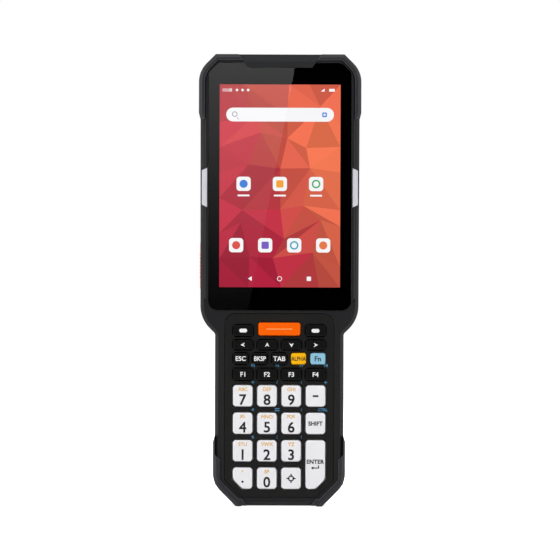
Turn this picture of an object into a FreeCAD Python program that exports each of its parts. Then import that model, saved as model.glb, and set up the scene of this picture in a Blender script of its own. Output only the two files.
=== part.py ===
import FreeCAD, Part

import math
import os
from types import SimpleNamespace

import Sketcher
from FreeCAD import Vector

# A hand-held data terminal standing on its feet: X is its width, Y its depth with the
# screen towards -Y, and Z its height. All lengths are in millimetres.

SIZES = {
    # Outline of the head and the grip, seen from the front
    "head_half": 37.0,
    "head_taper": 0.3,
    "grip_half": 29.85,
    "housing_top": 209.3,
    "housing_bottom": 0.46,
    "shoulder_drop": 4.15,
    "shoulder_share": 2.168,
    "waist_round": 2.0,
    "top_cut": 7.43,
    "bottom_cut": 10.0,
    "corner_round": 11.5,
    # Depths from the middle plane to the front face, and from there to the back
    "face_front": -13.8,
    "rim_proud": 1.1,
    "glass_proud": 0.5,
    "glass_thick": 1.1,
    "board_deep": 5.8,
    "parting_deep": 9.8,
    "floor_deep": 2.5,
    "floor_thick": 2.0,
    "pack_seat": 0.4,
    "pack_thick": 10.6,
    "head_step": 3.5,
    "heel_rise": 6.0,
    "heel_depth": 4.0,
    "brow_drop": 9.5,
    "brow_depth": 6.0,
    "front_edge": 1.5,
    "back_edge": 1.5,
    "wall": 2.0,
    # Rubber bumpers
    "bumper_proud": 0.7,
    "bumper_back_proud": 0.5,
    "bumper_front_proud": 1.7,
    "bumper_edge": 1.4,
    "bumper_back_edge": 1.5,
    "upper_thick": 2.8,
    "upper_drop": 29.4,
    "upper_step": 2.8,
    "lower_proud": 0.85,
    "lower_front_proud": 0.8,
    "lower_thick": 3.1,
    "lower_end": 32.9,
    "lower_lap": 8.9,
    "lower_step": 2.2,
    "foot_side": 9.85,
    "foot_wide": 2.1,
    "foot_slope": 0.8,
    # Scanner cowl, window and engine
    "cowl_top_half": 19.9,
    "cowl_low_half": 14.9,
    "cowl_drop": 5.5,
    "cowl_tall": 6.1,
    "cowl_facet": 3.5,
    "cowl_proud": 1.6,
    "cowl_brow": 1.9,
    "window_half": 16.0,
    "window_deep": 8.6,
    "window_behind": 5.2,
    "window_thick": 1.2,
    "window_ledge": 1.0,
    "engine_wide": 22.0,
    "engine_deep": 11.5,
    "engine_tall": 13.0,
    # Cover glass, display and light bars
    "glass_side": 3.9,
    "glass_drop": 3.4,
    "glass_cut": 4.4,
    "glass_round": 4.5,
    "glass_gap": 0.1,
    "rim_rise": 5.8,
    "rim_edge": 0.5,
    "display_side": 3.6,
    "display_drop": 7.3,
    "display_rise": 7.2,
    "display_thick": 2.6,
    "light_side": 0.8,
    "light_wide": 2.45,
    "light_drop": 52.1,
    "light_tall": 18.3,
    "light_proud": 0.9,
    "light_thick": 2.0,
    # Keypad panel, mat, domes and board
    "panel_side": 4.65,
    "panel_rise": 4.04,
    "panel_brow": 3.95,
    "bridge": 1.7,
    "panel_cut": 7.9,
    "panel_round": 4.8,
    "panel_thick": 1.6,
    "groove": 0.3,
    "shelf_inset": 5.8,
    "cavity_inset": 4.2,
    "board_thick": 1.2,
    "board_gap": 0.2,
    "mat_thick": 0.9,
    "dome_wide": 5.0,
    "dome_rise": 0.3,
    # Keys
    "key_proud": 1.4,
    "key_gap": 0.25,
    "key_flange": 0.5,
    "key_flange_thick": 0.8,
    "key_play": 0.2,
    "key_draft": 5.0,
    "key_travel": 1.0,
    "stem": 2.2,
    "stem_gap": 0.25,
    "key_margin": 3.625,
    "white_space": 1.85,
    "white_foot": 3.58,
    "white_tall": 10.2,
    "white_row_space": 2.54,
    "white_cut": 1.3,
    "white_corner_cut": 4.6,
    "black_space": 1.65,
    "black_cut": 1.2,
    "function_space": 2.0,
    "function_tall": 5.8,
    "small_margin": 3.67,
    "small_side_space": 1.64,
    "small_space": 1.6,
    "small_tall": 5.6,
    "arrow_space": 1.2,
    "arrow_tall": 4.8,
    "soft_space": 1.4,
    "soft_tall": 5.6,
    "scan_side_space": 2.075,
    "scan_space": 1.75,
    "scan_tall": 6.3,
    # Side scan button
    "side_rise": 24.7,
    "side_tall": 21.3,
    "side_deep": 9.0,
    "side_behind": 6.0,
    "side_proud": 0.4,
    "side_thick": 2.4,
    "side_gap": 0.2,
    "side_lip": 0.8,
    "side_travel": 0.8,
    # Battery, its contacts and its latch
    "pack_side": 6.35,
    "pack_tall": 72.0,
    "pack_gap": 0.3,
    "pack_edge": 0.8,
    "ramp_space": 8.0,
    "ramp_long": 12.0,
    "contact_pitch": 3.0,
    "contact_wide": 1.4,
    "contact_tall": 4.0,
    "contact_rise": 0.25,
    "contact_drop": 8.0,
    "latch_half": 7.5,
    "latch_bottom": 13.0,
    "latch_tall": 4.5,
    "latch_thick": 2.0,
    "latch_proud": 0.4,
    "latch_gap": 0.25,
    "latch_travel": 2.5,
    "latch_flange": 1.5,
    "latch_space": 2.5,
    # Camera, flash and loudspeaker on the back of the head
    "camera_side": 14.0,
    "camera_drop": 25.3,
    "ring_outer": 6.5,
    "ring_bore": 4.7,
    "ring_seat": 1.2,
    "ring_proud": 0.3,
    "lens_thick": 1.0,
    "lens_hole": 3.0,
    "flash_radius": 2.5,
    "flash_drop": 13.0,
    "flash_thick": 1.0,
    "speaker_side": 14.0,
    "speaker_rise": 14.0,
    "speaker_wide": 16.0,
    "speaker_tall": 11.0,
    "speaker_deep": 4.0,
    "slot_wide": 10.0,
    "slot_tall": 1.2,
    "slot_pitch": 2.4,
    # Port with its flap on the right side
    "port_tall": 9.0,
    "port_deep": 3.2,
    "port_wall": 0.4,
    "port_long": 8.0,
    "flap_tall": 20.0,
    "flap_deep": 9.0,
    "flap_thick": 1.3,
    "flap_gap": 0.2,
    "flap_pin": 0.65,
    # Cradle contacts, screws
    "cradle_pitch": 3.4,
    "cradle_wide": 2.2,
    "cradle_deep": 4.0,
    "cradle_thick": 0.2,
    "screw_inset": 7.2,
    "screw_rise": 18.25,
    "screw_drop": 35.3,
    "screw_head": 2.3,
    "screw_head_deep": 1.6,
    "screw_shank": 1.0,
    "screw_sink": 2.4,
    "boss": 2.9,
    "ear": 2.2,
    "ear_long": 2.2,
    "strap_side": 9.0,
    "strap_bore": 1.25,
    "strap_deep": 6.0,
    "strap_boss": 3.4,
}

WHITE_ROWS = [
    ["key_7", "key_8", "key_9", "key_minus"],
    ["key_4", "key_5", "key_6", "key_shift"],
    ["key_1", "key_2", "key_3", "key_enter"],
    ["key_point", "key_0", "key_centre"],
]
FUNCTION_KEYS = ["key_f1", "key_f2", "key_f3", "key_f4"]
SMALL_KEYS = ["key_esc", "key_backspace", "key_tab", "key_alpha", "key_fn"]
ARROW_KEYS = ["key_arrow_left", "key_arrow_up", "key_arrow_down", "key_arrow_right"]

DOME_SIDES = 8

# A 45 degree corner moves along its neighbour by this share of an inset
TURN = math.tan(math.radians(22.5))
CUT_SHARE = 2 - math.sqrt(2)


class Size:
    """A length that carries its sheet expression beside its present value."""

    def __init__(self, text, value):
        self.text = text
        self.value = value

    def _join(self, sign, other, value):
        return Size(f"({self.text} {sign} {as_size(other).text})", value)

    def __add__(self, other):
        return self._join("+", other, self.value + as_size(other).value)

    def __sub__(self, other):
        return self._join("-", other, self.value - as_size(other).value)

    def __mul__(self, other):
        return self._join("*", other, self.value * as_size(other).value)

    def __truediv__(self, other):
        return self._join("/", other, self.value / as_size(other).value)

    def __neg__(self):
        return Size(f"(0 - {self.text})", -self.value)

    __radd__ = __add__


def as_size(value):
    if isinstance(value, Size):
        return value
    return Size(f"({float(value)!r})", float(value))


doc = FreeCAD.newDocument("terminal")
sheet = doc.addObject("Spreadsheet::Sheet", "sizes")
for number, (word, length) in enumerate(SIZES.items(), start=1):
    sheet.set(f"A{number}", word)
    sheet.set(f"B{number}", str(length))
    sheet.setAlias(f"B{number}", word)
doc.recompute()
S = SimpleNamespace(**{word: Size(f"sizes.{word}", length) for word, length in SIZES.items()})

# Places that follow from the sizes. Depths first, from the face to the back
S.rim_front = S.face_front - S.rim_proud
S.glass_front = S.face_front - S.glass_proud
S.bumper_front = S.face_front - S.bumper_front_proud
S.lower_front = S.face_front - S.lower_front_proud
S.cowl_front = S.face_front - S.cowl_proud
S.light_front = S.face_front - S.light_proud
S.key_front = S.face_front - S.key_proud
S.board_front = S.face_front + S.board_deep
S.parting = S.face_front + S.parting_deep
S.window_middle = S.parting + S.window_behind
S.side_middle = S.parting + S.side_behind
S.grip_floor = S.parting + S.floor_deep
S.pocket_floor = S.grip_floor + S.floor_thick
S.pack_front = S.pocket_floor + S.pack_seat
S.grip_back = S.pack_front + S.pack_thick
S.head_back = S.grip_back + S.head_step

# Widths, from the head and the grip inwards
S.head_low_half = S.head_half - S.head_taper
# A wider step between grip and head takes a larger round
S.shoulder_round = (S.head_low_half - S.grip_half) * S.shoulder_share
S.glass_half = S.head_half - S.glass_side
S.display_half = S.glass_half - S.display_side
S.light_outer = S.head_half - S.light_side
S.light_inner = S.light_outer - S.light_wide
S.screw_side = S.head_half - S.screw_inset
S.pack_half = S.grip_half - S.pack_side
S.foot_outer = S.grip_half - S.foot_side
S.foot_inner = S.foot_outer - S.foot_wide
S.panel_half = S.grip_half - S.panel_side
S.column_pitch = (S.panel_half - S.key_margin + S.white_space / 2) / 2
S.small_pitch = (S.panel_half - S.small_margin + S.small_side_space / 2) / 2.5
S.white_wide = S.column_pitch - S.white_space
S.black_wide = S.column_pitch - S.black_space
S.small_wide = S.small_pitch - S.small_side_space
S.soft_column = S.panel_half - S.key_margin - S.black_wide / 2
S.scan_wide = (S.soft_column - S.scan_side_space) * 2 - S.black_wide

# Heights: the key rows stand on each other, and the shoulder and glass follow them
S.white_pitch = S.white_tall + S.white_row_space
S.panel_bottom = S.housing_bottom + S.panel_rise
S.white_low_row = S.panel_bottom + S.white_foot + S.white_tall / 2
S.white_top_row = S.white_low_row + S.white_pitch * 3
S.white_top = S.white_top_row + S.white_tall / 2
S.function_row = S.white_top + S.function_space + S.function_tall / 2
S.small_row = S.function_row + (S.function_tall + S.small_tall) / 2 + S.small_space
S.arrow_row = S.small_row + (S.small_tall + S.arrow_tall) / 2 + S.arrow_space
S.arrow_top = S.arrow_row + S.arrow_tall / 2
S.soft_row = S.arrow_top + S.soft_space + S.soft_tall / 2
S.scan_row = S.arrow_top + S.scan_space + S.scan_tall / 2
S.keys_top = S.scan_row + S.scan_tall / 2
S.panel_top = S.keys_top + S.panel_brow
S.glass_bottom = S.panel_top + S.bridge
S.shoulder_height = S.glass_bottom - S.shoulder_drop
S.rim_end = S.glass_bottom + S.rim_rise
S.display_bottom = S.glass_bottom + S.display_rise
S.side_height = S.shoulder_height + S.side_rise
S.side_bottom = S.side_height - S.side_tall / 2
S.screw_low = S.side_height + S.screw_rise
S.pack_bottom = S.latch_bottom + S.latch_tall + S.latch_space
S.pack_top = S.pack_bottom + S.pack_tall
S.contact_height = S.pack_top - S.contact_drop
S.ramp_low = S.pack_top + S.ramp_space
S.ramp_high = S.ramp_low + S.ramp_long
S.speaker_height = S.ramp_high + S.speaker_rise

# Heights that hang from the top
S.upper_end = S.housing_top - S.upper_drop
S.glass_top = S.housing_top - S.glass_drop
S.display_top = S.glass_top - S.display_drop
S.cowl_bottom = S.housing_top - S.cowl_drop
S.cowl_top = S.cowl_bottom + S.cowl_tall
S.cowl_ridge = S.cowl_top - S.cowl_facet
S.light_bottom = S.housing_top - S.light_drop - S.light_tall
S.screw_high = S.housing_top - S.screw_drop
S.camera_height = S.housing_top - S.camera_drop
S.flash_height = S.camera_height - S.flash_drop
S.strap_height = (S.flash_height + S.speaker_height) / 2


# Sketches and features


def new_body(name):
    return doc.addObject("PartDesign::Body", name)


def sketch_on(body, name, plane, lift):
    """A sketch of the body, parallel to one of its origin planes and lifted off it."""
    sketch = body.newObject("Sketcher::SketchObject", name)
    origin = next(f for f in body.Origin.OriginFeatures if f.Role == plane)
    sketch.AttachmentSupport = [(origin, "")]
    sketch.MapMode = "FlatFace"
    sketch.setExpression(".AttachmentOffset.Base.z", as_size(lift).text)
    return sketch


def outline(sketch, corners):
    """A closed outline through the corners (across, up) or (across, up, radius)."""
    places = [(as_size(c[0]), as_size(c[1])) for c in corners]
    rounds = [as_size(c[2]) if len(c) > 2 else None for c in corners]
    points = [Vector(x.value, y.value, 0) for x, y in places]
    count = len(points)
    starts = list(points)
    ends = points[1:] + points[:1]
    arcs = {}
    for i, point in enumerate(points):
        if rounds[i] is None:
            continue
        back = (points[i - 1] - point).normalize()
        ahead = (points[(i + 1) % count] - point).normalize()
        half = back.getAngle(ahead) / 2
        reach = rounds[i].value / math.tan(half)
        middle = (back + ahead).normalize()
        near = point + middle * (rounds[i].value / math.sin(half) - rounds[i].value)
        ends[i - 1] = point + back * reach
        starts[i] = point + ahead * reach
        # The sketcher wants its arcs anticlockwise
        left_turn = ahead.cross(back).z > 0
        first_end, last_end = (ends[i - 1], starts[i]) if left_turn else (starts[i], ends[i - 1])
        arcs[i] = Part.Arc(first_end, near, last_end)
    lines = [Part.LineSegment(starts[i], ends[i]) for i in range(count)]
    first = len(sketch.Geometry)
    sketch.addGeometry(lines, False)
    pins = sketch.addGeometry([Part.Point(p) for p in points], True)
    rules = []
    for i, point in enumerate(points):
        before, after = first + (i - 1) % count, first + i
        rules.append((Sketcher.Constraint("DistanceX", -1, 1, pins[i], 1, point.x), places[i][0]))
        rules.append((Sketcher.Constraint("DistanceY", -1, 1, pins[i], 1, point.y), places[i][1]))
        if i not in arcs:
            rules.append((Sketcher.Constraint("Coincident", before, 2, pins[i], 1), None))
            rules.append((Sketcher.Constraint("Coincident", after, 1, pins[i], 1), None))
            continue
        arc = sketch.addGeometry(arcs[i], False)
        tail = 1 if (sketch.Geometry[arc].StartPoint - ends[i - 1]).Length < 1e-6 else 2
        rules.append((Sketcher.Constraint("Tangent", before, 2, arc, tail), None))
        rules.append((Sketcher.Constraint("Tangent", after, 1, arc, 3 - tail), None))
        rules.append((Sketcher.Constraint("Radius", arc, rounds[i].value), rounds[i]))
        rules.append((Sketcher.Constraint("PointOnObject", pins[i], 1, before), None))
        rules.append((Sketcher.Constraint("PointOnObject", pins[i], 1, after), None))
    numbers = sketch.addConstraint([rule for rule, size in rules])
    for number, (rule, size) in zip(numbers, rules):
        if size is not None:
            sketch.setExpression(f"Constraints[{number}]", size.text)
    return sketch


def circle(sketch, across, up, radius):
    across, up, radius = as_size(across), as_size(up), as_size(radius)
    centre = Vector(across.value, up.value, 0)
    ring = sketch.addGeometry(Part.Circle(centre, Vector(0, 0, 1), radius.value), False)
    rules = [
        (Sketcher.Constraint("DistanceX", -1, 1, ring, 3, across.value), across),
        (Sketcher.Constraint("DistanceY", -1, 1, ring, 3, up.value), up),
        (Sketcher.Constraint("Radius", ring, radius.value), radius),
    ]
    numbers = sketch.addConstraint([rule for rule, size in rules])
    for number, (rule, size) in zip(numbers, rules):
        sketch.setExpression(f"Constraints[{number}]", size.text)
    return sketch


def solid_volume(body):
    return 0.0 if body.Shape.isNull() else body.Shape.Volume


def raised(body, sketch, length):
    """A pad along the sketch's normal."""
    before = solid_volume(body)
    pad = body.newObject("PartDesign::Pad", sketch.Name + "_pad")
    pad.Profile = sketch
    pad.setExpression("Length", as_size(length).text)
    doc.recompute()
    if solid_volume(body) <= before:
        raise RuntimeError(f"{pad.Name} adds nothing")
    return pad


def sunk(body, sketch, length):
    """A pocket against the sketch's normal."""
    before = solid_volume(body)
    pocket = body.newObject("PartDesign::Pocket", sketch.Name + "_pocket")
    pocket.Profile = sketch
    pocket.setExpression("Length", as_size(length).text)
    doc.recompute()
    if solid_volume(body) >= before:
        raise RuntimeError(f"{pocket.Name} cuts nothing")
    return pocket


def box(left, right, low, high):
    return [(left, low), (right, low), (right, high), (left, high)]


def square(half):
    return box(-as_size(half), half, -as_size(half), half)


def shifted(corners, across, up):
    return [(as_size(c[0]) + across, as_size(c[1]) + up, *c[2:]) for c in corners]


def front_pad(body, name, corners, back, front):
    """Material between two depths, drawn as seen from the front."""
    sketch = outline(sketch_on(body, name, "XZ_Plane", -as_size(back)), corners)
    return raised(body, sketch, as_size(back) - front)


def front_pocket(body, name, corners, front, back):
    """A cut between two depths, drawn as seen from the front."""
    sketch = outline(sketch_on(body, name, "XZ_Plane", -as_size(front)), corners)
    return sunk(body, sketch, as_size(back) - front)


def side_pocket(body, name, corners, right, left):
    """A cut between two widths, drawn as seen from the right side (Y, Z)."""
    sketch = outline(sketch_on(body, name, "YZ_Plane", right), corners)
    return sunk(body, sketch, as_size(right) - left)


def edges_where(feature, test):
    """Names of the edges whose every sampled point passes the test."""
    names = []
    for number, edge in enumerate(feature.Shape.Edges, start=1):
        first, last = edge.ParameterRange
        points = [edge.valueAt(first + (last - first) * share / 4) for share in range(5)]
        if all(test(point) for point in points):
            names.append(f"Edge{number}")
    return names


def normal_at(face, point):
    across, along = face.Surface.parameter(point)
    return face.normalAt(across, along)


def outer_edges(feature, way, above=-1.0, below=math.inf):
    """Names of the edges between the outer sides and what looks back (1) or forward (-1)."""
    names = []
    centre = S.housing_top.value / 2
    for number, edge in enumerate(feature.Shape.Edges, start=1):
        spot = edge.valueAt(sum(edge.ParameterRange) / 2)
        faces = feature.Shape.ancestorsOfType(edge, Part.Face)
        normals = [normal_at(face, spot) for face in faces]
        looks = any(n.y * way > 0.2 for n in normals)
        sides = any(
            abs(n.y) < 1e-6 and n.x * spot.x + n.z * (spot.z - centre) > 0 for n in normals
        )
        if looks and sides and above < spot.z < below:
            names.append(f"Edge{number}")
    return names


def edged(body, kind, feature, size, names):
    """A fillet or chamfer on the named edges."""
    if not names:
        raise RuntimeError(f"no edges for {kind} on {feature.Name}")
    dress = body.newObject(f"PartDesign::{kind}", f"{feature.Name}_{kind.lower()}")
    dress.Base = (feature, names)
    word = "Radius" if kind == "Fillet" else "Size"
    dress.setExpression(word, as_size(size).text)
    doc.recompute()
    return dress


def joined(name, kind, base, tool):
    """A boolean of two solids that stay in the tree."""
    result = doc.addObject(f"Part::{kind}", name)
    result.Base = base
    result.Tool = tool
    doc.recompute()
    return result


def without(name, base, tools):
    """The base less several tools."""
    if len(tools) == 1:
        return joined(name, "Cut", base, tools[0])
    bundle = doc.addObject("Part::MultiFuse", name + "_tools")
    bundle.Shapes = tools
    return joined(name, "Cut", base, bundle)


def together(name, pieces):
    """Several separate solids kept in one sub-part."""
    group = doc.addObject("Part::Compound", name)
    group.Links = pieces
    doc.recompute()
    return group


nodes = {}


def keep(name, thing):
    thing.Label = name
    nodes[name] = thing
    return thing


# Outlines


def both_sides(right):
    """The outline whose right half is given from the bottom to the top."""
    left = [(-as_size(corner[0]), *corner[1:]) for corner in reversed(right)]
    return right + left


def device_outline(inset, round_ends=True):
    """The outline of head and grip, drawn in by an inset."""
    bottom_cut = S.bottom_cut - as_size(inset) * CUT_SHARE
    top_cut = S.top_cut - as_size(inset) * CUT_SHARE
    grip, low, head = S.grip_half - inset, S.head_low_half - inset, S.head_half - inset
    bottom, top = S.housing_bottom + inset, S.housing_top - inset
    shoulder = S.shoulder_height + as_size(inset) * TURN
    right = [
        (grip - bottom_cut, bottom),
        (grip, bottom + bottom_cut),
        (grip, shoulder - (S.head_low_half - S.grip_half), S.waist_round + inset),
        (low, shoulder, S.shoulder_round - inset),
        (head, top - top_cut),
        (head - top_cut, top),
    ]
    if round_ends:
        right[4] = (*right[4], S.corner_round - inset)
    return both_sides(right)


def chamfered_box(half, bottom, top, bottom_cut, top_cut, bottom_round=None, top_round=None):
    """A box whose corners are rounded or cut at 45 degrees."""
    right = []
    if bottom_cut is None:
        right.append((half, bottom, bottom_round))
    else:
        right += [(as_size(half) - bottom_cut, bottom), (half, as_size(bottom) + bottom_cut)]
    if top_cut is None:
        right.append((half, top, top_round))
    else:
        right += [(half, as_size(top) - top_cut), (as_size(half) - top_cut, top)]
    if top_cut is not None and top_round is not None:
        right[-1] = (*right[-1], top_round)
        right[-2] = (*right[-2], top_round)
    return both_sides(right)


def glass_outline(grow):
    """The outline of the cover glass, grown by a gap."""
    cut = S.glass_cut + as_size(grow) * CUT_SHARE
    return chamfered_box(
        S.glass_half + grow, S.glass_bottom - grow, S.glass_top + grow,
        None, cut, S.glass_round + grow, S.glass_round - 1.0,
    )


def panel_outline(grow):
    """The outline of the keypad panel, grown by a gap."""
    cut = S.panel_cut + as_size(grow) * CUT_SHARE
    return chamfered_box(
        S.panel_half + grow, S.panel_bottom - grow, S.panel_top + grow,
        cut, None, None, S.panel_round + grow,
    )


def heel_relief(body, proud):
    """Cuts the back to its side profile up to the head: heel, grip and ramp."""
    far = S.head_half + 10
    behind = S.head_back + 10
    grip, head = S.grip_back + proud, S.head_back + proud
    profile = [
        (grip - S.heel_depth * (S.heel_rise + 1) / S.heel_rise, -1.0),
        (grip, S.heel_rise),
        (grip, S.ramp_low),
        (head, S.ramp_high),
        (behind, S.ramp_high),
        (behind, -1.0),
    ]
    return side_pocket(body, f"{body.Name}_heel", profile, far, -far)


def brow_relief(body, proud):
    """Slopes the back of the head down from the top."""
    far = S.head_half + 10
    behind = S.head_back + 10
    head, top = S.head_back + proud, S.housing_top + S.bumper_proud
    profile = [
        (head - S.brow_depth * (S.brow_drop + 1) / S.brow_drop, top + 1),
        (head, top - S.brow_drop),
        (behind, top - S.brow_drop),
        (behind, top + 1),
    ]
    return side_pocket(body, f"{body.Name}_brow", profile, far, -far)


# Bumpers


def upper_arch():
    """The cap of rubber over the top corners, a thick arch in the front view."""
    proud, thick = S.bumper_proud, S.upper_thick
    half, top = S.head_half + proud, S.housing_top + proud
    cut = S.top_cut + proud * CUT_SHARE
    inner_cut = cut - thick * CUT_SHARE
    outer = [
        (S.head_half, S.upper_end),
        (half, S.upper_end + S.upper_step),
        (half, top - cut, S.corner_round + proud),
        (half - cut, top),
    ]
    inner = [
        (half - thick, S.upper_end),
        (half - thick, top - thick - inner_cut, S.corner_round + proud - thick),
        (half - thick - inner_cut, top - thick),
    ]
    left_inner = [(-as_size(corner[0]), *corner[1:]) for corner in inner]
    profile = both_sides(outer) + left_inner + list(reversed(inner))
    body = new_body("upper_arch")
    front_pad(body, "arch_profile", profile, S.head_back + S.bumper_back_proud, S.bumper_front)
    brow = brow_relief(body, S.bumper_back_proud)
    back = edged(body, "Chamfer", brow, S.bumper_back_edge, outer_edges(brow, 1))
    edged(body, "Chamfer", back, S.bumper_edge, outer_edges(back, -1))
    return body


def lower_cradle():
    """The cradle of rubber round the heel, a deep U with two feet in the front view."""
    half = S.grip_half + S.lower_proud
    inner, floor = half - S.lower_thick, S.housing_bottom + S.lower_thick
    reach = half - S.foot_outer
    inner_cut = reach - S.lower_thick * CUT_SHARE
    step_top = S.lower_end - S.lower_lap
    right = [
        (S.foot_inner - S.foot_slope, S.housing_bottom),
        (S.foot_inner, 0.0),
        (S.foot_outer, 0.0),
        (half, reach, S.corner_round),
        (half, S.lower_end - S.upper_step),
        (S.grip_half, S.lower_end),
        (S.grip_half, step_top),
        (inner, step_top - S.lower_step),
        (inner, floor + inner_cut),
        (inner - inner_cut, floor),
    ]
    body = new_body("lower_cradle")
    back = S.grip_back + S.bumper_back_proud
    pad = front_pad(body, "cradle_profile", both_sides(right), back, S.lower_front)
    # The feet and the thin slanted ends keep sharp edges
    span = (S.housing_bottom.value + 1, (S.lower_end - S.upper_step).value)
    rear = edged(body, "Chamfer", pad, S.bumper_back_edge, outer_edges(pad, 1, *span))
    edged(body, "Chamfer", rear, S.bumper_edge, outer_edges(rear, -1, *span))
    heel_relief(body, S.bumper_back_proud)
    return body


def cowl_block():
    """The space of the cowl over the top edge of the glass, narrower at the bottom."""
    body = new_body("cowl_block")
    slant = [
        (S.cowl_low_half, S.cowl_bottom),
        (S.cowl_top_half, S.cowl_top + 1.0),
    ]
    front_pad(body, "cowl_slant", both_sides(slant), S.board_front, S.bumper_front - 1.0)
    return body


def cowl(block):
    """The faceted cowl, its lip resting on the glass."""
    body = new_body("cowl_section")
    over_glass = S.glass_top + S.glass_gap
    section = [
        (S.glass_front, S.cowl_bottom),
        (S.glass_front, over_glass),
        (S.board_front, over_glass),
        (S.board_front, S.cowl_top),
        (S.cowl_front + S.cowl_brow, S.cowl_top),
        (S.cowl_front, S.cowl_ridge),
        (S.cowl_front + 0.4, S.cowl_bottom),
    ]
    far = S.cowl_top_half + 2
    sketch = outline(sketch_on(body, "cowl_profile", "YZ_Plane", -far), section)
    raised(body, sketch, far * 2)
    return joined("cowl_cut", "Common", body, block)


# Housings


def front_shell():
    """The front casing with its rim, glass seat, panel opening and stepped inside."""
    body = new_body("front_shell")
    block = front_pad(body, "front_outline", device_outline(0), S.parting, S.face_front)
    edged(body, "Chamfer", block, S.front_edge, outer_edges(block, -1))
    thick = S.upper_thick - S.bumper_proud
    rim_half, rim_top = S.head_half - thick, S.housing_top - thick
    rim_cut = S.top_cut - thick * CUT_SHARE
    rim = [
        (S.glass_half - 1.0, S.rim_end - 2.0),
        (rim_half, S.rim_end),
        (rim_half, rim_top - rim_cut, S.corner_round - thick),
        (rim_half - rim_cut, rim_top),
    ]
    ridge = front_pad(body, "rim_outline", both_sides(rim), S.face_front, S.rim_front)
    names = edges_where(
        ridge, lambda p: abs(p.y - S.rim_front.value) < 1e-4 and abs(p.x) > S.glass_half.value
    )
    edged(body, "Chamfer", ridge, S.rim_edge, names)
    glass_back = S.glass_front + S.glass_thick
    front_pocket(body, "glass_seat", glass_outline(S.glass_gap), S.rim_front - 1, glass_back)
    shelf = S.face_front + S.panel_thick
    gap = S.glass_gap
    window = box(
        -S.display_half - gap, S.display_half + gap, S.display_bottom - gap, S.display_top + gap
    )
    front_pocket(body, "display_window", window, glass_back, shelf)
    front_pocket(body, "panel_seat", panel_outline(S.groove), S.face_front - 1, shelf)
    front_pocket(
        body, "inner_room", device_outline(S.shelf_inset, False), shelf, S.board_front
    )
    front_pocket(
        body, "board_room", device_outline(S.cavity_inset, False), S.board_front, S.parting
    )
    sketch = sketch_on(body, "ears", "XZ_Plane", -S.board_front)
    for across, up in screw_places():
        outline(sketch, shifted(square(S.ear), across, up))
    raised(body, sketch, S.ear_long)
    sketch = sketch_on(body, "ear_holes", "XZ_Plane", S.ear_long - S.board_front)
    for across, up in screw_places():
        outline(sketch, shifted(square(S.screw_shank), across, up))
    sunk(body, sketch, S.ear_long)
    return body


def screw_places():
    return [
        (side, height)
        for height in (S.screw_low, S.screw_high)
        for side in (-S.screw_side, S.screw_side)
    ]


def rear_shell():
    """The back casing: head with its rooms, ramp, grip with the battery pocket."""
    body = new_body("rear_shell")
    front_pad(body, "rear_outline", device_outline(0), S.head_back, S.parting)
    heel_relief(body, 0)
    brow = brow_relief(body, 0)
    edged(body, "Chamfer", brow, S.back_edge, outer_edges(brow, 1))
    front_pocket(
        body, "rear_room", device_outline(S.cavity_inset, False), S.parting, S.grip_floor
    )
    half = S.head_half - S.cavity_inset
    ceiling = S.housing_top - S.cavity_inset
    brow_low = S.housing_top + S.bumper_proud - S.brow_drop
    deep = box(-half, half, S.ramp_high + S.wall, brow_low - S.wall)
    front_pocket(body, "head_room", deep, S.grip_floor, S.head_back - S.wall)
    engine = box(-S.window_half, S.window_half, brow_low - S.wall, ceiling)
    back = S.head_back - S.brow_depth - S.wall
    front_pocket(body, "engine_room", engine, S.grip_floor, back)
    gap = S.pack_gap
    pocket = box(
        -S.pack_half - gap, S.pack_half + gap, S.pack_bottom - gap, S.pack_top + gap
    )
    front_pocket(body, "battery_pocket", pocket, S.pocket_floor, S.grip_back + 5)
    window_opening(body)
    round_holes(body)
    side_rooms(body)
    latch_room(body)
    return body


def window_opening(body):
    """The seat of the scan window in the top wall, with a smaller opening under it."""
    seat_top = S.housing_top + S.bumper_proud - S.upper_thick
    top = S.housing_top + 1
    for name, shrink, low in (
        ("window_seat", 0.0, seat_top - S.window_thick),
        ("window_hole", S.window_ledge, S.housing_top - S.cavity_inset - 0.5),
    ):
        half = S.window_half - shrink
        deep = S.window_deep / 2 - shrink
        corners = box(-half, half, S.window_middle - deep, S.window_middle + deep)
        sketch = outline(sketch_on(body, name, "XY_Plane", top), corners)
        sunk(body, sketch, top - low)


def back_circle_pocket(body, name, places, radius, back, front):
    """Round holes cut from the back towards the front."""
    sketch = sketch_on(body, name, "XZ_Plane", -as_size(front))
    for across, up in places:
        circle(sketch, across, up, radius)
    return sunk(body, sketch, as_size(back) - front)


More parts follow.
